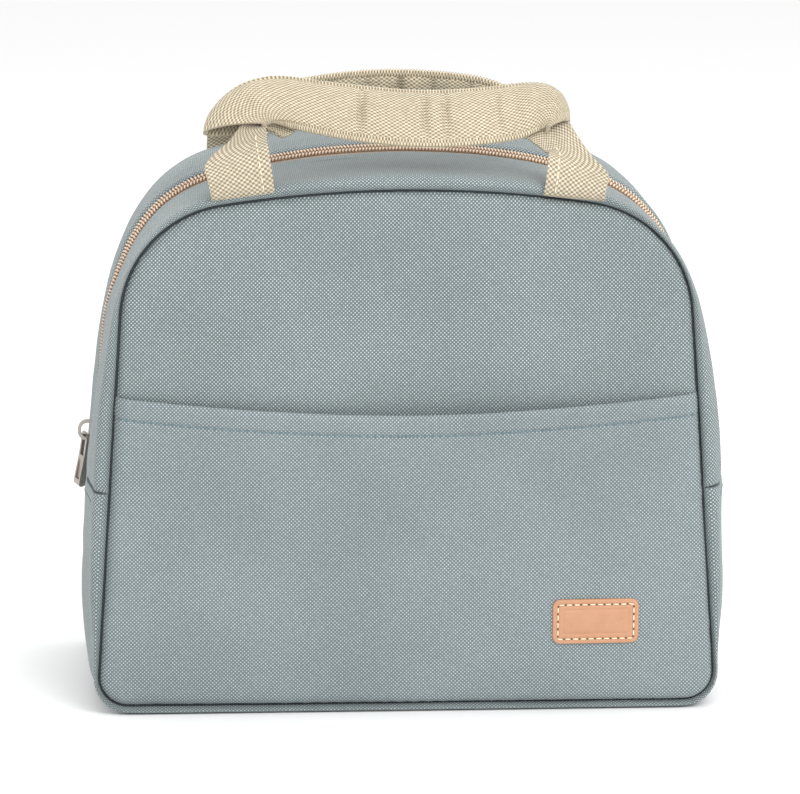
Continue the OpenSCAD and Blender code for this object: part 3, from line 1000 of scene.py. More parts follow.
@dataclass
class BagBody:
    """Padded panels and side strips, with their linings, seams and topstitching."""

    seam: SeamLine
    zip_end: float
    fold: float
    half_depth: float
    swell: StripSwell
    inflation: PanelInflation | None = None
    seam_y: float = 60.7 * MM
    panel_face: float = 66.0 * MM
    pillow: float = 3.6 * MM
    foam: float = 4.9 * MM
    zip_gap: float = 5.0 * MM
    arch_gap: float = 4.3 * MM
    spacing: float = 3.0 * MM
    zip_low: float = 80 * MM
    zip_lean: float = 0.3
    # The dark cord in each seam groove is painted shadow; these two set its size and depth.
    cord_size: float = 0.7 * MM
    cord_depth: float = 1.9 * MM
    middle_z: float = 104 * MM
    lining_inset: float = 6.1 * MM
    lining_width: float = 58 * MM
    fill: float = 0.5
    arch_share: float = 0.93
    panel_waves: tuple[Waves, ...] = (Waves(55 * MM, 1.0 * MM, 3.1), Waves(21 * MM, 0.25 * MM, 7.7))
    strip_waves: tuple[Waves, ...] = (Waves(34 * MM, 0.8 * MM, 1.3), Waves(13 * MM, 0.2 * MM, 5.9))
    lining_waves: Waves = Waves(12 * MM, 0.2 * MM, 2.2)
    back_waves: Waves = Waves(26 * MM, 0.35 * MM, 9.0)
    fuller_z: float = 125 * MM
    fuller: float = 2.0 * MM
    pucker: float = 0.45 * MM
    pucker_step: float = 3.4 * MM
    corner_reach: float = 26 * MM
    bodies: tuple[str, str] = ("bag", "front_flap")

    def bend(self, piece: bpy.types.Object) -> None:
        """Bakes a piece of the front half's placement into its mesh; it is attached to no body."""
        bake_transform(piece)

    def panel_depth(self, x: np.ndarray, z: np.ndarray) -> np.ndarray:
        """How far a panel's outer face stands from the middle of the bag.

        Args:
            x: Places across the panel.
            z: Their heights.

        Returns:
            The depth at each place.
        """
        d = self.seam.inset(x, z)
        spots = np.stack([x, np.zeros_like(x), z], axis=-1)
        slow = sum(waves.at(spots) for waves in self.panel_waves)
        inside = 1 - np.exp(-d / (16 * MM))
        corner = bell(np.hypot(np.abs(x) - self.seam.base_x, z - self.seam.base_z), self.corner_reach)
        pucker = corner * np.cos((x + z) / self.pucker_step) * self.pucker * np.exp(-d / (9 * MM))
        softer_left = 0.8 * np.clip(-x / (100 * MM), 0, 1)
        roll_width = (1.2 + softer_left) * MM
        roll = (self.panel_face - self.seam_y) * (1 - np.exp(-((d / roll_width) ** 1.3)))
        if self.inflation is None:
            puff = 1 - np.exp(-d / (24 * MM))
        else:
            puff, pucker = self.inflation.at(x, z), 0.4 * pucker
        return self.seam_y + roll + self.pillow * puff + slow * inside + pucker

    def _panel(self, name: str, side: Side) -> bpy.types.Object:
        """Builds a padded panel as one closed form.

        Args:
            name: The piece's name.
            side: Which panel it is.

        Returns:
            The undressed piece.
        """
        s = np.linspace(0, 2 * self.seam.half, 300, endpoint=False)
        x, z, nx, nz = self.seam.at(s)
        near_seam = [0, 0.003, 0.006, 0.01, 0.016, 0.025, 0.038]
        share = np.concatenate([near_seam, np.linspace(0.055, 1, 36)])[:, None]
        ring_x = (x - 0.5 * MM * nx) * (1 - share)
        ring_z = self.middle_z + (z - 0.5 * MM * nz - self.middle_z) * (1 - share)
        depth = self.panel_depth(ring_x, ring_z)
        outer = np.stack([ring_x, side.value * depth, ring_z], axis=-1)
        back = self.half_depth - 5.2 * MM
        thin = np.minimum(self.seam_y - 0.7 * MM, back + (self.seam_y - back) * np.exp(-share * 30))
        inner = np.stack([ring_x, side.value * np.broadcast_to(thin, ring_x.shape), ring_z], axis=-1)
        uv = np.stack([ring_x, ring_z], axis=-1)
        uv = np.concatenate([uv, uv[:, :1]], axis=1)
        shell = Shell()
        shell.wall(outer, inner, uv, closed=True)
        return shell.build(name)

    def _outer_profile(self, s: float, side: Side, gap: float) -> list[tuple[float, float]]:
        """Outer profile of a strip from its seam to the zip.

        Args:
            s: Distance along the seam line.
            side: Front or rear half.
            gap: Half of the gap over the zip, where the strip stops.

        Returns:
            Pairs of distances, from the middle of the bag and outside the seam line.
        """
        y = self.seam_y
        roll, middle, zip_top = self.swell.at(s, side)
        front = side is Side.FRONT
        height = self.seam.at(np.array([s]))[1]
        zip_top += float(self.zip_rise(np.array([side.value * gap]), height)[0])
        edge = zip_top - (1.25 if front else 0.9) * MM
        lip = zip_top - (0.95 if front else 0.0) * MM
        return [
            (y, -0.5 * MM), (y + 2.8 * MM, 0.25 * MM), (y + 4.8 * MM, 0.25 * roll + 0.45 * MM),
            (y + 5.1 * MM, 0.55 * roll + 0.1 * MM), (y + 3.8 * MM, 0.86 * roll), (y + 0.4 * MM, roll),
            (y - 5 * MM, roll + 0.15 * (middle - roll)), (y - 14 * MM, roll + 0.6 * (middle - roll)),
            (y - 27 * MM, middle), (y - 40 * MM, middle), (gap + 7 * MM, 0.5 * (middle + edge) + 0.3 * MM),
            (gap + 1.3 * MM, lip), (gap, edge),
        ]

    def _inner_profile(self, s: float, side: Side, gap: float) -> list[tuple[float, float]]:
        """Inner profile of a strip: the foam's back, and the turned edge that lies on the zip tape.

        Args:
            s: Distance along the seam line.
            side: Front or rear half.
            gap: Half of the gap over the zip, where the strip stops.

        Returns:
            Pairs of distances, from the middle of the bag and outside the seam line.
        """
        y = self.seam_y
        _, middle, zip_top = self.swell.at(s, side)
        zip_top += float(self.zip_rise(np.array([side.value * gap]), self.seam.at(np.array([s]))[1])[0])
        back, tape = middle - self.foam, zip_top - 1.75 * MM
        return [
            (y - 0.4 * MM, -0.9 * MM), (y - 1.5 * MM, min(back, -0.6 * MM)), (y - 6 * MM, back),
            (y - 20 * MM, back), (18 * MM, back), (15.8 * MM, 0.5 * (back + tape)), (14.4 * MM, tape),
            (gap + 4 * MM, tape), (gap, tape),
        ]

    def on_arch(self, z: np.ndarray) -> np.ndarray:
        """Share from 0 beside the slider's run to 1 along the arch."""
        ease = np.clip((z - 158 * MM) / (30 * MM), 0, 1)
        return ease * ease * (3 - 2 * ease)

    def gap_at(self, z: np.ndarray) -> np.ndarray:
        """Half of the gap over the zip: wide where the slider runs and closer along the arch."""
        return self.zip_gap + (self.arch_gap - self.zip_gap) * self.on_arch(z)

    def zip_rise(self, y: np.ndarray, z: np.ndarray) -> np.ndarray:
        """How far the zip leans outwards at its rear edge and inwards at its front one, along the arch."""
        return self.zip_lean * np.clip(y, -self.zip_gap, self.zip_gap) * self.on_arch(z)

    def wrinkle(self, x: np.ndarray, y: np.ndarray, z: np.ndarray) -> np.ndarray:
        """Small unevenness of a side strip, outwards, which fades beside the zip and is fuller on the right.

        Args:
            x: Places across the bag.
            y: Their depths.
            z: Their heights.

        Returns:
            The distance outwards at each place.
        """
        spots = np.stack(np.broadcast_arrays(x, y, z), axis=-1)
        beside_zip = bell(y, 9 * MM) * np.clip((z - self.zip_low) / (10 * MM), 0, 1)
        waves = sum(wave.at(spots) for wave in self.strip_waves)
        fuller = np.clip(x / (60 * MM), 0, 1) * bell(z - self.fuller_z, 45 * MM) * self.fuller
        return (waves + fuller) * (1 - beside_zip)

    def _lay(self, s: np.ndarray, profile: np.ndarray, sign: float, ends: float | None = None) -> np.ndarray:
        """Places of a strip's face.

        Args:
            s: Distances along the seam line.
            profile: Distances from the middle and outside the seam, shaped (rows, columns, 2).
            sign: -1 for the front and 1 for the rear.
            ends: On an outer face, how far the face sinks at its two ends.

        Returns:
            Places shaped (rows, columns, 3).
        """
        x, z, nx, nz = (value[:, None] for value in self.seam.at(s))
        y, v = sign * profile[..., 0], profile[..., 1].copy()
        if ends is not None:
            inside = np.clip((self.seam_y + 3 * MM - np.abs(y)) / (4 * MM), 0, 1)
            raised = np.clip(v / (2 * MM), 0, 1)
            reach = np.minimum(np.abs(s - s[0]), np.abs(s - s[-1]))[:, None]
            v += inside * self.wrinkle(x + 0 * y, y, z + 0 * y) - raised * ends * np.exp(-reach / (1.3 * MM))
            lip = np.clip((np.abs(y) - self.seam_y) / (3 * MM), 0, 1)
            y = y - np.sign(y) * lip * raised * ends * np.exp(-reach / (1.3 * MM))
        return np.stack([x + nx * v, y + 0 * x, np.maximum(z + nz * v, 0.15 * MM)], axis=-1)

    def _stations(self, start: float, end: float) -> np.ndarray:
        """Distances along the seam line between two places, closer together at the ends."""
        near = np.array([0, 0.5, 1.1, 1.8, 2.8]) * MM
        count = int((end - start) / self.spacing)
        between = np.linspace(start + 4 * MM, end - 4 * MM, count)
        return np.concatenate([start + near, between, end - near[::-1]])

    def _zip_strip(self, name: str, side: Side) -> bpy.types.Object:
        """Builds the padded strip between a seam and the zip, over the top of the bag.

        Args:
            name: The piece's name.
            side: Front or rear half.

        Returns:
            The undressed piece.
        """
        start = self.seam.s_at_height(self.zip_end)
        s = self._stations(start, 2 * self.seam.half - start)
        gaps = self.gap_at(self.seam.at(s)[1])
        outer = np.stack([smooth_curve(self._outer_profile(a, side, g), 44) for a, g in zip(s, gaps)])
        inner = np.stack([smooth_curve(self._inner_profile(a, side, g), 44) for a, g in zip(s, gaps)])
        uv = swept_uv(s, run_length(outer[0]))
        shell = Shell()
        shell.wall(self._lay(s, outer, side.value, 2.2 * MM), self._lay(s, inner, side.value), uv)
        return shell.build(name)

    def _base_profile(self, s: float, inner: bool) -> np.ndarray:
        """Profile of the base strip at one place, from the front seam to the rear one."""
        build = self._inner_profile if inner else self._outer_profile
        front = [(-y, v) for y, v in build(s, Side.FRONT, self.zip_gap) if y > 30 * MM]
        rear = [(y, v) for y, v in build(s, Side.REAR, self.zip_gap) if y > 30 * MM]
        middle = front[-1][1] if inner else self.swell.under_zip(s)
        return smooth_curve(front + [(0.0, middle)] + rear[::-1], 86)

    def _base_strip(self, name: str) -> bpy.types.Object:
        """Builds the padded strip round the base, up to the ends of the zip."""
        end = self.seam.s_at_height(self.zip_end)
        s = self._stations(-end, end)
        outer = np.stack([self._base_profile(a, False) for a in s])
        inner = np.stack([self._base_profile(a, True) for a in s])
        uv = swept_uv(s, run_length(outer[len(s) // 4]))
        shell = Shell()
        shell.wall(self._lay(s, outer, 1, 0.5 * MM), self._lay(s, inner, 1), uv)
        return shell.build(name)

    def _lining_strip(self, name: str, start: float, end: float, side: Side | None) -> bpy.types.Object:
        """Builds a lining skin along part of the side strip.

        Args:
            name: The piece's name.
            start: Where it starts along the seam line.
            end: Where it ends.
            side: The half that it lines, or None for the base, which it lines from seam to seam.

        Returns:
            The undressed piece.
        """
        s = np.linspace(start, end, int((end - start) / (4 * MM)))
        edge = self.half_depth - self.lining_inset
        rows = []
        for a in s:
            _, middle, zip_top = self.swell.at(a, side or Side.REAR)
            height = self.seam.at(np.array([a]))[1]
            zip_top += float(self.zip_rise(np.array([(side or Side.REAR).value * self.arch_gap]), height)[0])
            back, tape = middle - self.foam - 0.3 * MM, zip_top - 2.9 * MM
            if side is None:
                low = back - 0.2 * MM
                rows.append(smooth_curve([(-edge, low), (0.0, back), (edge, low)], 40))
            else:
                y = [edge, 30 * MM, 17 * MM, 15.2 * MM, 13.5 * MM, 9 * MM]
                v = [back - 0.2 * MM, back, back, 0.5 * (back + tape), tape, tape]
                rows.append(smooth_curve([(side.value * a, b) for a, b in zip(y, v)], 40))
        profile = np.stack(rows)
        x, z, nx, nz = (value[:, None] for value in self.seam.at(s))
        y = profile[..., 0]
        spots = np.stack([x + 0 * y, y, z + 0 * y], axis=-1)
        v = profile[..., 1] + self.lining_waves.at(spots)
        faces = [np.stack([x + nx * (v - t), y, z + nz * (v - t)], axis=-1) for t in (0.0, 0.5 * MM)]
        uv = swept_uv(s, run_length(profile[0]))
        shell = Shell()
        shell.wall(faces[0], faces[1], uv)
        return shell.build(name)

    def _lining_panel(self, name: str, side: Side) -> bpy.types.Object:
        """Builds the lining skin of a panel."""
        x, z, _, _ = self.seam.at(np.linspace(0, 2 * self.seam.half, 200, endpoint=False))
        share = np.linspace(0, 1, 26)[:, None]
        ring_x = x * (1 - share)
        ring_z = self.middle_z + (z - self.middle_z) * (1 - share)
        spots = np.stack([ring_x, 0 * ring_x, ring_z], axis=-1)
        wave = self.back_waves.at(spots) * np.clip(share * 8, 0, 1)
        faces = []
        for back in (5.4 * MM, 5.9 * MM):
            faces.append(np.stack([ring_x, side.value * (self.half_depth - back - wave), ring_z], axis=-1))
        uv = np.stack([ring_x, ring_z], axis=-1)
        shell = Shell()
        shell.wall(faces[0], faces[1], np.concatenate([uv, uv[:, :1]], axis=1), closed=True)
        return shell.build(name)

    def _seam_cord(self, name: str, side: Side) -> bpy.types.Object:
        """Builds a dark cord at the bottom of the groove beside a panel: painted shadow that darkens the seam
        groove.

        Args:
            name: The piece's name.
            side: Which panel it is.

        Returns:
            The undressed piece.
        """
        s = np.linspace(0, 2 * self.seam.half, 480, endpoint=False)
        x, z, nx, nz = (value[:, None] for value in self.seam.at(s))
        angle = np.linspace(0, 2 * math.pi, 8, endpoint=False)[None, :]
        v = -0.3 * MM + self.cord_size * np.cos(angle)
        y = side.value * (self.seam_y + self.cord_depth + self.cord_size * np.sin(angle))
        rows = np.stack(np.broadcast_arrays(x + nx * v, y, z + nz * v), axis=-1)
        rows = np.concatenate([rows, rows[:1]])
        uv = swept_uv(np.append(s, 2 * self.seam.half), np.linspace(0, 5 * MM, 9))
        shell = Shell()
        shell.grid(rows, uv, closed=True)
        return shell.build(name)

    def _across_stitches(self, name: str, right: bool) -> bpy.types.Object:
        """Topstitching across the base strip, just under the seam at one end of the zip.

        Args:
            name: The piece's name.
            right: Whether it is the right end.

        Returns:
            The undressed piece.
        """
        s_end = self.seam.s_at_height(self.zip_end) - 4.2 * MM
        s = np.array([s_end if right else -s_end])
        profile = self._base_profile(float(s[0]), False)
        keep = profile[np.abs(profile[:, 0]) < 61 * MM]
        x, z, nx, nz = self.seam.at(s)
        v = keep[:, 1] + self.wrinkle(x + 0 * keep[:, 0], keep[:, 0], z + 0 * keep[:, 0])
        path = np.stack([x + nx * v, keep[:, 0], z + nz * v], axis=-1)
        out = np.stack([nx + 0 * v, 0 * v, nz + 0 * v], axis=-1)
        return Thread().sew(name, path, out)

    def _padded(self, piece: bpy.types.Object, *nodes: str) -> bpy.types.Object:
        """Dresses a padded piece in the bag's cloth.

        Args:
            piece: The undressed piece.
            *nodes: The nodes that it replaces.

        Returns:
            The same piece.
        """
        BAG_CLOTH.dress(piece)
        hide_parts(*nodes)
        return piece

    def _lined(
        self, skin: bpy.types.Object, flat: tuple[float, float], area: float | None, *nodes: str
    ) -> bpy.types.Object:
        """Dresses a lining skin in film.

        Args:
            skin: The undressed skin.
            flat: Its two sides when it lies flat. Not used.
            area: Its flat area, where it isn't a rectangle. Not used.
            *nodes: The nodes that it replaces.

        Returns:
            The same skin.
        """
        LINING_FILM.dress(skin)
        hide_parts(*nodes)
        return skin

    def build(self) -> None:
        """Builds and dresses every piece of the body."""
        root, _ = self.bodies
        front = self._padded(
            self._panel("front_panel_padded", Side.FRONT),
            "front_panel_lower", "front_foam_lower", "front_panel_upper", "front_foam_upper",
        )
        rear = self._padded(self._panel("rear_panel_padded", Side.REAR), "rear_panel", "rear_foam")
        base = self._padded(self._base_strip("base_strip_padded"), "base_gusset", "base_foam")
        front_strip = self._padded(
            self._zip_strip("front_zip_strip_padded", Side.FRONT),
            "front_zip_gusset", "front_zip_foam", "front_zip_gusset_ends",
        )
        rear_strip = self._padded(
            self._zip_strip("rear_zip_strip_padded", Side.REAR), "rear_zip_gusset", "rear_zip_foam"
        )

        start = self.seam.s_at_height(self.zip_end)
        far = 2 * self.seam.half - start
        panel = (2 * self.seam.half_width, self.seam.top)
        panel_area = panel[0] * panel[1] * self.arch_share
        base_size = (2 * (self.half_depth - self.lining_inset), 2 * start)
        front_lining = self._lined(
            self._lining_panel("front_lining_skin", Side.FRONT), panel, panel_area,
            "front_lining_lower", "front_lining_upper",
        )
        rear_lining = self._lined(
            self._lining_panel("rear_lining_skin", Side.REAR), panel, panel_area, "rear_lining"
        )
        base_lining = self._lined(
            self._lining_strip("base_lining_skin", -start, start, None), base_size, None, "base_lining"
        )
        front_zip_lining, rear_zip_lining = (
            self._lined(
                self._lining_strip(f"{side.word}_zip_lining_skin", start, far, side),
                (self.lining_width, far - start), None, f"{side.word}_zip_lining",
            )
            for side in Side
        )

        for name, right in (("base_stitches_right", True), ("base_stitches_left", False)):
            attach(CLOTH_THREAD.dress(self._across_stitches(name, right)), root)
        # The seam cords are painted shadow: dark tubes that darken the bottom of the seam grooves.
        front_shadow_cord = GROOVE_SHADOW.dress(self._seam_cord("front_seam_cord", Side.FRONT))
        rear_shadow_cord = GROOVE_SHADOW.dress(self._seam_cord("rear_seam_cord", Side.REAR))
        for piece in (front, front_strip, front_lining, front_zip_lining, front_shadow_cord):
            self.bend(piece)
        for piece in (rear, base, rear_strip, rear_lining, base_lining, rear_zip_lining, rear_shadow_cord):
            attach(piece, root)
        # The two seam cords counted here are the painted groove shadows.
        LOG.info("body: two panels, three strips, their linings, two seam cords and the topstitching")


# ------------------------------------------------------------
# Pocket and patch
# ------------------------------------------------------------


@dataclass
class SlipPocket:
    """The pocket across the lower front, with a turned and stitched hem."""

    body: BagBody
    middle_z: float = 123.5 * MM
    left_z: float = 130.2 * MM
    right_z: float = 129.8 * MM
    hem: float = 7.6 * MM
    puff: float = 4.2 * MM
    cloth: float = 1.1 * MM

    def top_at(self, share: np.ndarray) -> np.ndarray:
        """Height of the open edge, from -1 at the left seam to 1 at the right one."""
        side = np.where(share < 0, self.left_z, self.right_z)
        return self.middle_z + (side - self.middle_z) * np.abs(share) ** 1.8

    def stand_off(self, share: np.ndarray, up: np.ndarray) -> np.ndarray:
        """How far the pocket's outer face stands off the panel, at shares of its width and height."""
        open_part = (1 - np.abs(share) ** 2.4) * up**2.2
        return 1.3 * MM + 2.2 * MM * up**8 + self.puff * open_part

    def surface(self, share: np.ndarray, up: np.ndarray) -> np.ndarray:
        """Places on the outer face.

        Args:
            share: Shares of the width, from -1 to 1.
            up: Shares of the height, from 0 at the base seam to 1 at the open edge.

        Returns:
            Places, with a last axis of length three.
        """
        low = self.body.seam.base + 0.3 * MM
        nominal = low + up * (self.middle_z - low)
        z = low + up * (self.top_at(share) - low)
        x = share * (self.body.seam.half_width_at(np.maximum(nominal, low)) - 0.5 * MM)
        d = self.body.seam.inset(x, z)
        close = 1 - np.exp(-d / (1.6 * MM))
        spots = np.stack([x, 0 * x, z], axis=-1)
        ridge = bell(x - 27 * MM + 0.05 * (z - 100 * MM), 16 * MM) * 0.9 * MM
        crease = ridge - bell(x + 44 * MM, 20 * MM) * 0.7 * MM
        swell = soft_noise(spots, 40 * MM, 11.4) * 0.9 * MM * close + crease * close * up
        below = self.top_at(share) - z
        hem = 0.5 * MM / (1 + np.exp((below - self.hem) / (0.5 * MM)))
        line = -0.5 * MM * bell(below - self.hem, 0.9 * MM)
        fold = -0.9 * MM * np.exp(-np.maximum(below, 0) / (0.9 * MM))
        depth = self.body.panel_depth(x, z) + self.stand_off(share, up) * close + swell + hem + line + fold
        return np.stack([x, -depth, z], axis=-1)

    def _cloth(self) -> bpy.types.Object:
        """Builds the pocket, thicker along its turned hem and rounded over at the open edge."""
        reach = math.pi / 2 * 0.96
        across = np.sin(np.linspace(-1, 1, 121) * reach) / math.sin(reach)
        hem_share = 1 - (self.hem + 3 * MM) / self.middle_z
        rows = np.concatenate([
            0.5 * hem_share * (1 - np.cos(np.linspace(0, math.pi, 52))),
            np.linspace(hem_share, 1, 26)[1:],
        ])
        share, up = np.meshgrid(across, rows)
        outer = self.surface(share, up)
        thick = (1.0 + 0.7 * np.clip((up - hem_share) / (1 - hem_share) * 4, 0, 1)) * self.cloth
        inner = outer + np.stack([0 * thick, thick, 0 * thick], axis=-1)
        shell = Shell()
        uv = outer[..., [0, 2]]
        rounds = [outer[-1]]
        for angle in np.linspace(0, math.pi, 7)[1:-1]:
            across_edge = (outer[-1] + inner[-1]) / 2 + (outer[-1] - inner[-1]) / 2 * math.cos(angle)
            rounds.append(across_edge + np.array([0, 0, 0.8 * self.cloth * math.sin(angle)]))
        rounds.append(inner[-1])
        shell.grid(outer, uv)
        shell.grid(inner[::-1], uv[::-1])
        shell.grid(np.stack(rounds), np.stack([uv[-1] + [0, 0.4 * MM * k] for k in range(len(rounds))]))
        shell.rim(outer[0], inner[0], uv[0])
        for col in (0, -1):
            shell.rim(outer[:, col], inner[:, col], uv[:, col])
        return shell.build("front_pocket_cloth")

    def build(self) -> None:
        """Builds and dresses the pocket and its hem stitches."""
        cloth = POCKET_CLOTH.dress(self._cloth())
        share = np.linspace(-0.985, 0.985, 400)
        up = 1 - self.hem / (self.top_at(share) - self.body.seam.base)
        path = self.surface(share, up)
        out = np.tile([0.0, -1.0, 0.0], (len(share), 1))
        thread = Thread(length=2.5 * MM, gap=0.7 * MM, width=0.75 * MM)
        stitches = CLOTH_THREAD.dress(thread.sew("pocket_hem_stitches", path, out))
        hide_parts("front_pocket")
        for piece in (cloth, stitches):
            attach(piece, "bag")
        LOG.info("pocket: %s", cloth.name)


@dataclass
class LeatherPatch:
    """The small leather patch, with its stitches, painted shade at its needle holes and a pressed line."""

    pocket: SlipPocket
    size: tuple[float, float] = (35 * MM, 18.5 * MM)
    thickness: float = 1.2 * MM
    corner: float = 3.2 * MM
    stitch_inset: float = 2.1 * MM
    hole_radius: float = 0.42 * MM
    hole_flatness: float = 0.4

    def _face_y(self, x: float, z: float) -> float:
        """Depth of the pocket's face under a place on the patch."""
        seam = self.pocket.body.seam
        share = np.array([x / float(seam.half_width_at(np.array(z)))])
        up = np.array([(z - seam.base) / (self.pocket.middle_z - seam.base)])
        return float(self.pocket.surface(share, up)[0, 1])

    def _rounded(self, inset: float, count: int = 200) -> np.ndarray:
        """Places round the patch's outline, evenly spaced, at a distance inside its edge."""
        half = np.array(self.size) / 2 - inset
        radius = min(max(self.corner - inset, 0.8 * MM), max(half[1], 0.02 * MM))
        corners = []
        for sx, sz, start in ((1, 1, 0), (-1, 1, 90), (-1, -1, 180), (1, -1, 270)):
            angle = np.radians(start + np.linspace(0, 90, 9))
            middle = np.array([sx * (half[0] - radius), sz * (half[1] - radius)])
            corners.append(middle + radius * np.column_stack([np.cos(angle), np.sin(angle)]))
        loop = np.vstack([*corners, corners[0][:1]])
        run = run_length(loop)
        return places_along(np.linspace(0, run[-1], count), run, loop)

    def _plate(self, centre: np.ndarray, tilt: np.ndarray) -> bpy.types.Object:
        """Builds the leather in rings: cut edge, soft rim, the dip under the stitches and a pressed line.

        Args:
            centre: Middle of the back face.
            tilt: The directions across, up and out, as rows.

        Returns:
            The undressed piece.
        """
        full = self.thickness
        rings = [
            (0.0, 0.0), (0.0, 0.45), (0.12, 0.82), (0.4, 0.97), (0.8, 1.0), (1.5, 1.0), (1.85, 0.88),
            (2.35, 0.86), (2.75, 0.97), (3.4, 1.02), (3.8, 1.02), (4.05, 0.9), (4.3, 0.9), (4.55, 1.02),
            (6.0, 1.04), (9.2, 1.05),
        ]
        rows = []
        for inset, height in rings:
            loop = self._rounded(inset * MM, 161)[:-1]
            flat = np.column_stack([loop, np.full(len(loop), height * full)])
            rows.append(centre + flat @ tilt)
        back = centre + np.column_stack([self._rounded(9.2 * MM, 161)[:-1], np.zeros(160)]) @ tilt
        grid = np.stack([back, *rows])
        local = (grid - centre) @ tilt.T
        shell = Shell()
        uv = local[..., :2]
        shell.grid(grid, np.concatenate([uv, uv[:, :1]], axis=1), closed=True)
        spine = np.stack([centre + np.array([0, 0, h]) @ tilt for h in (0.0, 1.05 * full)])
        shell.caps(grid, spine, np.zeros((2, grid.shape[1] + 1, 2)))
        return shell.build("leather_patch_sewn", 40)

    def build(self) -> None:
        """Builds and dresses the patch."""
        low, high = (np.array(corner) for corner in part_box("leather_patch"))
        x, z = (low[0] + high[0]) / 2, (low[2] + high[2]) / 2
        reach = 12 * MM
        slope_x = (self._face_y(x + reach, z) - self._face_y(x - reach, z)) / (2 * reach)
        slope_z = (self._face_y(x, z + 6 * MM) - self._face_y(x, z - 6 * MM)) / (12 * MM)
        across = unit(np.array([1.0, slope_x, 0.0]))
        up = unit(np.array([0.0, slope_z, 1.0]))
        out = np.cross(across, up)
        tilt = np.stack([across, up, out])
        corners = [(sx * self.size[0] / 2.3, sz * self.size[1] / 2.3) for sx in (-1, 1) for sz in (-1, 1)]
        deepest = min(self._face_y(x + a, z + b) - a * slope_x - b * slope_z for a, b in corners + [(0, 0)])
        centre = np.array([x, deepest + 0.35 * MM, z])
        plate = PATCH_LEATHER.dress(self._plate(centre, tilt))
        loop = self._rounded(self.stitch_inset)
        face = centre + (self.thickness - 0.05 * MM) * out
        path = face + loop[:, :1] * across + loop[:, 1:] * up
        lift = np.tile(out, (len(path), 1))
        thread = Thread(length=2.35 * MM, gap=0.75 * MM, width=0.55 * MM)
        stitches = CREAM_THREAD.dress(thread.sew("patch_stitches", path + 0.1 * MM * out, lift))
        # Dark beads between the stitches: painted shade for the needle holes.
        hole_shades = self._holes(path, lift, thread)
        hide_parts("leather_patch")
        for piece in (plate, stitches, hole_shades):
            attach(piece, "bag")
        LOG.info("patch: %s", plate.name)

    def _holes(self, path: np.ndarray, lift: np.ndarray, thread: Thread) -> bpy.types.Object:
        """Models dark beads between the stitches: painted shade that stands in for the needle holes.

        Args:
            path: Places along the row of stitches.
            lift: The direction out of the leather at each place.
            thread: The thread that the row is sewn with.

        Returns:
            The dressed piece.
        """
        run = run_length(path)
        count = int(run[-1] / (thread.length + thread.gap))
        at = np.arange(count) * run[-1] / count
        bpy.ops.object.select_all(action="DESELECT")
        bpy.ops.mesh.primitive_uv_sphere_add(segments=8, ring_count=4, radius=self.hole_radius)
        points, faces = take_mesh(bpy.context.object)
        up, out = np.tile([0, 0, 1.0], (count, 1)), lift[:count]
        axes = np.stack([unit(np.cross(up, out)), up, out * self.hole_flatness], axis=1)
        places = places_along(at, run, path)
        return PAINTED_HOLE_SHADE.dress(repeat_along("patch_needle_holes", points, faces, places, axes))


# ------------------------------------------------------------
# Zip
# ------------------------------------------------------------


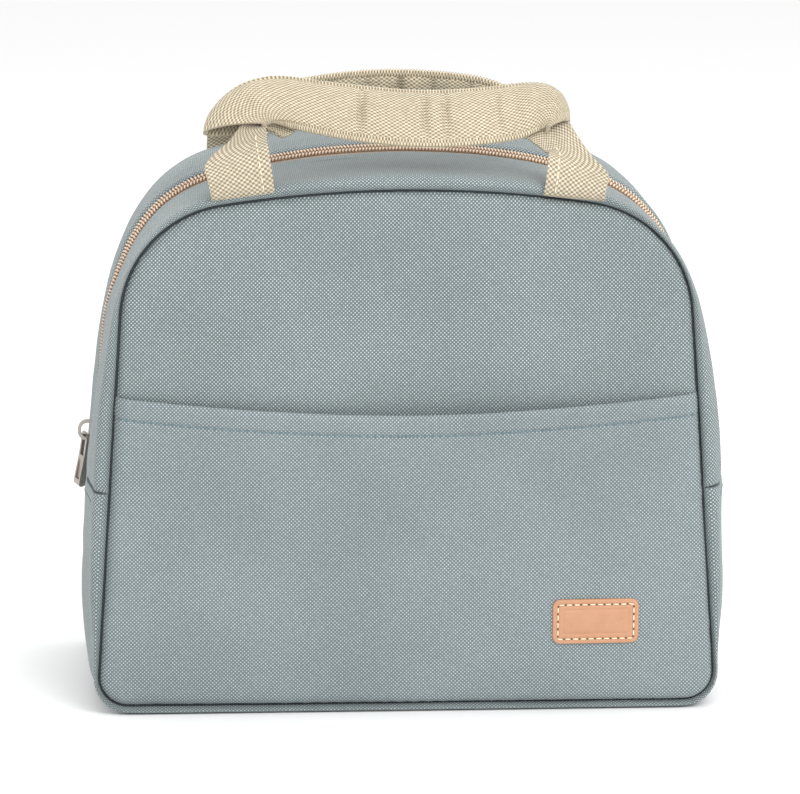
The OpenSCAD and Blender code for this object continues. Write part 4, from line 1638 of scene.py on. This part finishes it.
@dataclass
class ZipFastener:
    """Tapes, wound coils with their cords, end stops, slider and pull."""

    body: BagBody
    pitch: float = 1.35 * MM
    wire: float = 0.34 * MM
    near: float = 0.2 * MM
    far: float = 3.0 * MM
    coil_height: float = 1.8 * MM
    tape_start: float = 1.0 * MM
    coil_start: float = 6.5 * MM

    def _one_turn(self) -> tuple[np.ndarray, list[list[int]]]:
        """Models one turn of a coil: a flattened ring that stands across the tape."""
        bpy.ops.object.select_all(action="DESELECT")
        half_wide = (self.far - self.near) / 2 - self.wire
        half_high = self.coil_height / 2 - self.wire
        bpy.ops.mesh.primitive_torus_add(
            major_segments=9, minor_segments=5, major_radius=half_wide, minor_radius=self.wire
        )
        turn = bpy.context.object
        bpy.ops.object.mode_set(mode="EDIT")
        bpy.ops.transform.resize(value=(1.0, half_high / half_wide, 1.0))
        bpy.ops.object.mode_set(mode="OBJECT")
        return take_mesh(turn)

    def _coil(self, side: Side) -> bpy.types.Object:
        """Winds one coil along its tape."""
        start = self.body.seam.s_at_height(self.body.zip_end + self.coil_start)
        length = 2 * (self.body.seam.half - start)
        count = int(length / self.pitch)
        shift = 0.5 if side is Side.REAR else 0.0
        s = start + (np.arange(count) + shift) * length / count
        x, z, nx, nz = self.body.seam.at(s)
        y = side.value * (self.near + self.far) / 2
        v = self.top_at(s) - self.coil_height / 2 + self.body.zip_rise(y + 0 * x, z)
        places = np.stack([x + nx * v, y + 0 * x, z + nz * v], axis=-1)
        lean = (self.body.zip_lean * self.body.on_arch(z))[:, None]
        normal = np.stack([nx, 0 * nx, nz], axis=-1)
        along = np.stack([-nz, 0 * nx, nx], axis=-1)
        level = np.tile([0, 1.0, 0], (count, 1))
        out = unit(normal - lean * level)
        across = level + lean * normal + 0.22 * side.value * along
        points, faces = self._one_turn()
        axes = np.stack([unit(across), out, along], axis=1)
        return repeat_along(f"{side.word}_coil_turns", points, faces, places, axes)

    def top_at(self, s: np.ndarray) -> np.ndarray:
        """How far the top of the coils stands outside the seam line."""
        return np.array([self.body.swell.at(float(a), Side.FRONT)[2] for a in s])

    def _band(self, name: str, profile: list[tuple[float, float]], start_z: float) -> bpy.types.Object:
        """Sweeps a band along the zip.

        Args:
            name: The piece's name.
            profile: Its section, as y and distance below the top of the coils, in order round it.
            start_z: Height of its ends.

        Returns:
            The undressed piece.
        """
        start = self.body.seam.s_at_height(start_z)
        s = np.linspace(start, 2 * self.body.seam.half - start, 260)
        x, z, nx, nz = (value[:, None] for value in self.body.seam.at(s))
        p = np.array(profile)
        v = self.top_at(s)[:, None] - p[:, 1] + self.body.zip_rise(p[:, 0] + 0 * x, z)
        rows = np.stack([x + nx * v, p[:, 0] + 0 * x, z + nz * v], axis=-1)
        run = run_length(np.vstack([p, p[:1]]))
        uv = swept_uv(s, run)
        shell = Shell()
        shell.grid(rows, uv, closed=True)
        shell.caps(rows, rows.mean(axis=1), uv)
        return shell.build(name)

    def build(self) -> None:
        """Builds and dresses every piece of the zip."""
        for side in Side:
            sign, word = side.value, side.word
            tape_low, tape_high = self.coil_height + 0.5 * MM, self.coil_height
            tape_y = (0.7 * MM, 5.0 * MM, 13.8 * MM)
            tape = ZIP_TAPE.dress(self._band(
                f"{word}_tape_woven",
                [(sign * y, tape_low) for y in tape_y] + [(sign * y, tape_high) for y in tape_y[::-1]],
                self.body.zip_end + self.tape_start,
            ))
            coil = COIL_NYLON.dress(self._coil(side))
            angles = np.linspace(0, 2 * math.pi, 8, endpoint=False)
            middle = sign * (self.near + self.far) / 2
            core = self.coil_height / 2
            wide, high = 0.5 * MM, 0.42 * MM
            cord_profile = [(middle + wide * math.cos(a), core + high * math.sin(a)) for a in angles]
            cord_start = self.body.zip_end + self.coil_start
            cord = COIL_CORD.dress(self._band(f"{word}_coil_core", cord_profile, cord_start))
            for piece, node in ((coil, f"{word}_zip_coil"), (tape, f"{word}_zip_tape")):
                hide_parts(node, *([f"{node}_ends"] if side is Side.FRONT else []))
            for piece in (tape, coil, cord):
                if side is Side.FRONT:
                    self.body.bend(piece)
                else:
                    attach(piece, "bag")
        for node in ("zip_end_stops", "slider_body", "slider_crown", "pull_tab"):
            piece = FRAME["nodes"][node]
            piece.data.materials.clear()
            piece.data.materials.append(SATIN_NICKEL.material())
        LOG.info("zip: two tapes, two coils and the slider")


# ------------------------------------------------------------
# Handles
# ------------------------------------------------------------


Edge = tuple[float, float, float]
Rung = tuple[Edge, Edge, float]


@dataclass
class CarryHandle:
    """Webbing that comes out of the top seam on both sides, and the padded sleeve round its middle.

    A band is a list of rungs from its left end to its right end. A rung is its upper and lower edge and
    half of its thickness, in mm, for a handle at the front. The rear handle is the mirror image.
    """

    side: Side
    strap: list[Rung]
    sleeve: list[Rung]
    pleats: list[tuple[float, float, float]]
    dents: list[tuple[float, float]]
    foot_y: float = 66.25 * MM
    foot_z: float = 212.5 * MM
    foot_run: float = 6 * MM
    rib_pitch: float = 1.25 * MM

    def _rungs(self, rungs: list[Rung], count: int) -> tuple[np.ndarray, ...]:
        """Runs a smooth band through rungs.

        Args:
            rungs: The rungs, in mm.
            count: How many rows to return.

        Returns:
            Each row's middle, across and outward directions, half width and half thickness, in metres.
        """
        rows = smooth_curve([(*upper, *lower, thick) for upper, lower, thick in rungs], count) * MM
        rows[:, [1, 4]] *= self.side.value
        upper, lower = rows[:, :3], rows[:, 3:6]
        middle = (upper + lower) / 2
        half = np.linalg.norm(upper - lower, axis=1) / 2
        across = unit(upper - lower)
        along = unit(np.gradient(middle, axis=0))
        out = unit(np.cross(across, along)) * self.side.value
        return middle, across, out, half, rows[:, 6]

    @staticmethod
    def _section(count: int, power: float) -> np.ndarray:
        """Places round a section of half sizes one, squarer as power grows."""
        angle = np.linspace(0, 2 * math.pi, count, endpoint=False)
        c, s = np.cos(angle), np.sin(angle)
        return np.column_stack([np.sign(part) * np.abs(part) ** (2 / power) for part in (c, s)])

    def _webbing(self) -> bpy.types.Object:
        """Builds the strap as one flat band with rounded selvedges."""
        middle, across, out, half, thick = self._rungs(self.strap, 170)
        section = self._section(44, 7.0)
        wide = section[:, 0][None, :] * half[:, None]
        high = section[:, 1][None, :] * thick[:, None]
        rows = middle[:, None] + wide[..., None] * across[:, None] + high[..., None] * out[:, None]
        run = run_length(middle)
        loop = run_length(np.vstack([section, section[:1]]) * [half.max(), thick.max()])
        uv = swept_uv(run, loop)[..., ::-1]
        shell = Shell()
        shell.grid(rows, uv, closed=True)
        shell.caps(rows, middle, uv)
        return shell.build(f"{self.side.word}_strap_webbing", 60)

    def _sleeve_rows(self) -> tuple[np.ndarray, np.ndarray, np.ndarray]:
        """Outer and inner faces of the sleeve, and its UVs."""
        middle, across, out, half, thick = self._rungs(self.sleeve, 230)
        section = self._section(64, 2.1)
        run = run_length(middle)
        ripple = np.zeros((len(run), len(section)))
        for place, size, width in self.pleats:
            lean = 0.5 * section[:, 0] * width
            ripple += size * MM * bell(run[:, None] - place * run[-1] - lean * MM, width * MM)
        for place, size in self.dents:
            fade = bell(run - place * run[-1], 5 * MM)[:, None] * (0.5 + 0.5 * np.abs(section[:, 0]))
            ripple += size * MM * fade * np.sin((run - place * run[-1]) / (0.9 * MM))[:, None]
        swell = soft_noise(middle, 17 * MM, 4.0 + self.side.value) * 0.6 * MM
        high = (thick + swell)[:, None] + ripple * np.abs(section[:, 1])
        rows = []
        for inset in (0.0, 1.1 * MM):
            wide = section[:, 0][None, :] * (half - inset)[:, None]
            tall = section[:, 1][None, :] * np.maximum(high - inset, 0.9 * MM)
            rows.append(middle[:, None] + wide[..., None] * across[:, None] + tall[..., None] * out[:, None])
        loop = run_length(np.vstack([section, section[:1]]) * [half.max(), thick.max()])
        uv = swept_uv(run, loop)
        return rows[0], rows[1], uv

    def _sleeve(self) -> bpy.types.Object:
        """Builds the padded sleeve, open at both ends."""
        outer, inner, uv = self._sleeve_rows()
        shell = Shell()
        shell.wall(outer, inner, uv, closed=True)
        return shell.build(f"{self.side.word}_grip_sleeve", 60)

    def _edge_bands(self) -> bpy.types.Object:
        """Builds the ribbed bands sewn along both long edges of the sleeve."""
        middle, across, out, half, _ = self._rungs(self.sleeve, 560)
        angle = np.linspace(0, 2 * math.pi, 12, endpoint=False)
        run = run_length(middle)
        ribs = 1 + 0.2 * np.sin(2 * math.pi * run / self.rib_pitch)
        size = 0.45 + 0.55 * np.clip(np.minimum(run, run[-1] - run) / (24 * MM), 0, 1)
        shell = Shell()
        for edge in (-1, 1):
            core = middle + edge * (half - 0.4 * MM - 1.5 * MM * (1 - size))[:, None] * across
            wide, tall = 2.0 * MM * size * np.sqrt(ribs), 1.45 * MM * size * ribs
            rows = core[:, None] + (
                (wide[:, None] * np.cos(angle)[None, :])[..., None] * across[:, None]
                + (tall[:, None] * np.sin(angle)[None, :])[..., None] * out[:, None]
            )
            uv = swept_uv(run, np.linspace(0, 9 * MM, 13))
            shell.grid(rows, uv, closed=True)
            shell.caps(rows, core, uv)
        return shell.build(f"{self.side.word}_grip_edge_bands", 60)

    def _leg_stitches(self) -> list[bpy.types.Object]:
        """Rows of stitches up the inner edge of each webbing leg."""
        middle, across, out, half, thick = self._rungs(self.strap, 170)
        rows = []
        for word, part in (("left", slice(4, 27)), ("right", slice(-27, -4))):
            path = middle[part] - across[part] * (half[part] - 4.4 * MM)[:, None]
            path = path + out[part] * (thick[part] + 0.02 * MM)[:, None]
            thread = Thread(length=2.2 * MM, gap=0.6 * MM, width=0.5 * MM)
            rows.append(thread.sew(f"{self.side.word}_{word}_leg_stitches", path, out[part]))
        return rows

    def build(self) -> None:
        """Builds and dresses the handle."""
        word = self.side.word
        webbing = STRAP_WEBBING.dress(self._webbing())
        sleeve = GRIP_WEBBING.dress(self._sleeve())
        bands = EDGE_CORD.dress(self._edge_bands())
        stitches = [CREAM_THREAD.dress(row) for row in self._leg_stitches()]
        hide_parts(f"{word}_handle_strap")
        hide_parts(f"{word}_handle_grip")
        for piece in (sleeve, bands):
            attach(piece, f"{word}_handle")
        for piece in (webbing, *stitches):
            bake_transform(piece)
        LOG.info("%s handle: webbing, sleeve and edge bands", word)


def front_handle() -> CarryHandle:
    """The front handle. Its middle sags, and its sleeve is flared at the left end and rounded at the right."""
    strap = [
        ((-77.6, 62.5, 209.6), (-52.6, 62.5, 212.8), 0.75),
        ((-77.7, 66.0, 210.2), (-52.6, 66.0, 213.4), 0.75),
        ((-78.2, 67.6, 213.5), (-53.0, 67.6, 217.0), 0.75),
        ((-79.2, 67.4, 218.0), (-53.8, 67.2, 222.5), 0.75),
        ((-80.2, 64.6, 222.6), (-54.6, 64.2, 228.8), 0.75),
        ((-77.0, 61.8, 227.0), (-55.2, 61.0, 232.0), 0.8),
        ((-71.2, 59.4, 231.5), (-55.4, 58.5, 234.6), 1.0),
        ((-67.2, 57.0, 236.0), (-55.0, 56.2, 237.5), 1.2),
        ((-63.0, 53.0, 242.2), (-49.8, 56.4, 233.6), 1.1),
        ((-56.0, 46.5, 247.6), (-46.4, 56.0, 234.2), 0.9),
        ((-36.0, 42.0, 248.0), (-36.5, 54.5, 238.0), 0.8),
        ((-2.0, 42.0, 244.6), (-2.0, 54.5, 234.0), 0.8),
        ((30.0, 42.0, 245.0), (31.0, 54.5, 235.0), 0.8),
        ((52.0, 44.0, 247.0), (47.0, 56.0, 232.6), 0.9),
        ((61.0, 49.5, 243.6), (50.6, 57.2, 230.6), 1.1),
        ((65.6, 54.5, 238.0), (53.4, 58.6, 228.8), 1.2),
        ((69.2, 58.0, 232.0), (55.4, 60.4, 227.2), 1.0),
        ((74.0, 61.2, 225.4), (56.4, 62.0, 227.4), 0.8),
        ((80.0, 64.2, 219.0), (56.0, 64.6, 225.0), 0.75),
        ((79.4, 67.2, 214.5), (55.2, 67.4, 218.5), 0.75),
        ((78.9, 67.6, 211.5), (54.6, 67.6, 214.6), 0.75),
        ((78.9, 66.0, 209.0), (54.2, 66.0, 211.6), 0.75),
        ((78.9, 62.5, 208.4), (54.2, 62.5, 211.0), 0.75),
    ]
    sleeve = [
        ((-80.6, 52.5, 234.6), (-55.4, 58.0, 238.6), 4.8),
        ((-79.4, 49.5, 239.4), (-54.8, 57.8, 239.0), 4.4),
        ((-76.2, 46.5, 244.4), (-53.8, 57.8, 239.4), 4.0),
        ((-70.3, 43.0, 249.4), (-52.2, 57.8, 239.6), 3.7),
        ((-63.0, 40.4, 252.9), (-50.0, 57.8, 239.4), 3.5),
        ((-54.5, 38.8, 254.5), (-47.0, 57.8, 238.8), 3.4),
        ((-45.0, 38.0, 254.2), (-41.5, 57.8, 237.6), 3.4),
        ((-34.0, 38.0, 252.6), (-32.5, 57.8, 235.6), 3.4),
        ((-19.0, 38.0, 250.8), (-19.5, 57.9, 233.2), 3.4),
        ((-2.0, 38.0, 249.0), (-2.0, 58.0, 231.2), 3.4),
        ((14.0, 38.0, 248.6), (15.0, 58.0, 230.7), 3.4),
        ((29.0, 38.0, 249.3), (31.0, 57.9, 231.6), 3.5),
        ((41.5, 38.0, 250.6), (43.5, 57.8, 233.4), 3.7),
        ((52.5, 38.8, 252.0), (51.8, 57.6, 236.0), 4.2),
        ((58.4, 41.4, 251.4), (54.0, 57.4, 236.8), 4.9),
        ((63.0, 45.4, 248.4), (55.4, 57.6, 237.0), 5.4),
        ((65.4, 50.0, 243.4), (55.6, 57.9, 236.6), 5.2),
        ((65.6, 54.0, 238.4), (55.8, 58.6, 235.8), 4.6),
    ]
    pleats = [
        (0.1, 0.9, 4.0), (0.395, -2.5, 1.3), (0.43, 0.9, 2.4), (0.575, -1.8, 1.2), (0.6, 0.6, 2.0),
        (0.635, -2.0, 1.3), (0.68, 0.7, 3.0), (0.78, -1.2, 1.6), (0.88, 0.9, 3.5),
    ]
    return CarryHandle(Side.FRONT, strap, sleeve, pleats, [(0.75, 0.22), (0.2, 0.15)])


def rear_handle() -> CarryHandle:
    """The rear handle. Its middle arches, and its sleeve is pleated on the side that faces the front handle."""
    strap = [
        ((-77.6, 62.5, 208.8), (-52.4, 62.5, 211.4), 0.75),
        ((-77.7, 66.0, 209.4), (-52.4, 66.0, 212.0), 0.75),
        ((-78.0, 67.6, 212.4), (-52.6, 67.6, 215.6), 0.75),
        ((-78.0, 67.2, 216.4), (-52.9, 67.0, 220.6), 0.75),
        ((-77.0, 64.4, 221.4), (-53.2, 64.0, 226.0), 0.75),
        ((-70.4, 60.0, 228.0), (-53.8, 59.4, 230.6), 0.9),
        ((-63.4, 54.0, 234.6), (-51.8, 56.4, 234.0), 1.0),
        ((-52.0, 50.5, 239.2), (-46.0, 55.6, 235.6), 0.9),
        ((-30.0, 51.0, 242.4), (-30.0, 56.0, 236.0), 0.8),
        ((0.0, 51.0, 243.8), (0.0, 56.0, 235.4), 0.8),
        ((30.0, 51.0, 242.4), (30.0, 56.0, 236.0), 0.8),
        ((52.0, 50.5, 239.0), (46.0, 55.6, 235.6), 0.9),
        ((63.4, 54.0, 234.4), (51.8, 56.4, 234.0), 1.0),
        ((70.4, 60.0, 228.0), (53.8, 59.4, 230.6), 0.9),
        ((77.0, 64.4, 221.4), (53.2, 64.0, 226.0), 0.75),
        ((78.0, 67.2, 216.4), (52.9, 67.0, 220.6), 0.75),
        ((78.0, 67.6, 212.4), (52.6, 67.6, 215.6), 0.75),
        ((77.7, 66.0, 209.4), (52.4, 66.0, 212.0), 0.75),
        ((77.6, 62.5, 208.8), (52.4, 62.5, 211.4), 0.75),
    ]
    sleeve = [
        ((-71.0, 53.0, 229.4), (-56.0, 59.0, 231.4), 4.2),
        ((-68.0, 51.0, 233.6), (-54.4, 58.2, 233.0), 4.0),
        ((-61.0, 50.0, 237.0), (-51.6, 57.8, 234.0), 3.8),
        ((-51.0, 49.4, 240.6), (-46.6, 57.8, 234.2), 3.6),
        ((-38.0, 49.0, 244.0), (-36.6, 57.8, 233.8), 3.4),
        ((-20.0, 49.0, 246.5), (-20.0, 57.8, 232.8), 3.4),
        ((0.0, 49.0, 247.5), (0.0, 57.8, 232.0), 3.4),
        ((20.0, 49.0, 246.5), (20.0, 57.8, 232.8), 3.4),
        ((36.0, 49.0, 244.4), (35.0, 57.8, 233.8), 3.4),
        ((48.0, 49.4, 240.7), (44.6, 57.8, 234.2), 3.6),
        ((58.6, 50.0, 236.4), (50.6, 57.8, 234.0), 3.8),
        ((66.0, 51.0, 232.6), (54.4, 58.2, 233.0), 4.0),
        ((69.6, 53.0, 228.6), (56.0, 59.0, 231.4), 4.2),
    ]
    pleats = [
        (0.22, 0.8, 3.0), (0.31, -1.8, 1.3), (0.36, 1.0, 2.2), (0.42, -1.4, 1.1), (0.47, 1.0, 2.0),
        (0.525, -3.0, 1.4), (0.57, 1.0, 2.2), (0.63, -1.6, 1.1), (0.69, 0.8, 2.0), (0.75, -1.5, 1.3),
    ]
    return CarryHandle(Side.REAR, strap, sleeve, pleats, [(0.5, 0.2), (0.3, 0.2)])


# ------------------------------------------------------------
# Studio
# ------------------------------------------------------------


@dataclass
class Studio:
    """Floor, lights and camera."""

    target: tuple[float, float, float] = (0.0, 0.0, 0.125)
    distance: float = 1.8
    azimuth_deg: float = -3.07
    elevation_deg: float = 10.28
    lens: float = 195.2

    def _floor(self) -> None:
        """A wide pale floor."""
        bpy.ops.object.select_all(action="DESELECT")
        bpy.ops.mesh.primitive_plane_add(size=12.0)
        floor = bpy.context.object
        floor.name = "studio_floor"
        paint = bpy.data.materials.new("studio_floor")
        paint.use_nodes = True
        surface = paint.node_tree.nodes["Principled BSDF"].inputs
        surface["Base Color"].default_value = (0.92, 0.92, 0.92, 1)
        surface["Roughness"].default_value = 0.9
        floor.data.materials.append(paint)

    def _area_light(self, name: str, place: tuple[float, float, float], size: float, power: float) -> None:
        """Adds a square soft light that faces the bag.

        Args:
            name: The light's name.
            place: Where it stands.
            size: Length of its sides.
            power: Its power in watts.
        """
        data = bpy.data.lights.new(name, "AREA")
        data.size = size
        data.energy = power
        light = bpy.data.objects.new(name, data)
        bpy.context.collection.objects.link(light)
        light.location = place
        aim = Vector(self.target) - Vector(place)
        light.rotation_euler = aim.to_track_quat("-Z", "Y").to_euler()

    def _camera(self) -> None:
        """Looks at the bag from the front, a little from above and from the left."""
        azimuth, elevation = math.radians(self.azimuth_deg), math.radians(self.elevation_deg)
        back = Vector((
            math.sin(azimuth) * math.cos(elevation),
            -math.cos(azimuth) * math.cos(elevation),
            math.sin(elevation),
        ))
        data = bpy.data.cameras.new("camera")
        data.lens = self.lens
        data.shift_x = 0.002
        data.shift_y = -0.0217
        camera = bpy.data.objects.new("camera", data)
        bpy.context.collection.objects.link(camera)
        camera.location = Vector(self.target) + back * self.distance
        camera.rotation_euler = (-back).to_track_quat("-Z", "Y").to_euler()
        bpy.context.scene.camera = camera

    def build(self) -> None:
        """Builds the studio."""
        self._floor()
        world = bpy.data.worlds.new("studio")
        world.use_nodes = True
        background = world.node_tree.nodes["Background"].inputs
        background["Color"].default_value = (1, 1, 1, 1)
        background["Strength"].default_value = 1.0
        scene = bpy.context.scene
        scene.world = world
        scene.view_settings.view_transform = "Standard"
        self._area_light("key_light", (0.7, -1.4, 1.3), 1.0, 18)
        self._area_light("fill_light", (-1.3, -1.1, 0.9), 1.2, 2)
        self._area_light("top_light", (0.1, 0.3, 1.7), 1.2, 8)
        self._area_light("front_light", (0.0, -1.7, 1.1), 1.4, 5)
        self._camera()


def main() -> None:
    """Builds every piece round the frame."""
    logging.basicConfig(level=logging.INFO, format="%(name)s: %(message)s")
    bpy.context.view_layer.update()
    Studio().build()
    low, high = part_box("rear_panel")
    base_low, base_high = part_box("base_gusset")
    seam = SeamLine(half_width=124.5 * MM, top=high[2], base=(low[2] + base_low[2]) / 2)
    body = BagBody(
        seam=seam,
        zip_end=base_high[2],
        fold=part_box("front_panel_upper")[0][2],
        half_depth=high[1],
        swell=StripSwell(seam),
        inflation=PanelInflation(seam),
    )
    body.build()
    pocket = SlipPocket(body)
    pocket.build()
    LeatherPatch(pocket).build()
    ZipFastener(body).build()
    front_handle().build()
    rear_handle().build()


if __name__ == "__main__":
    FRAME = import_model()
    main()
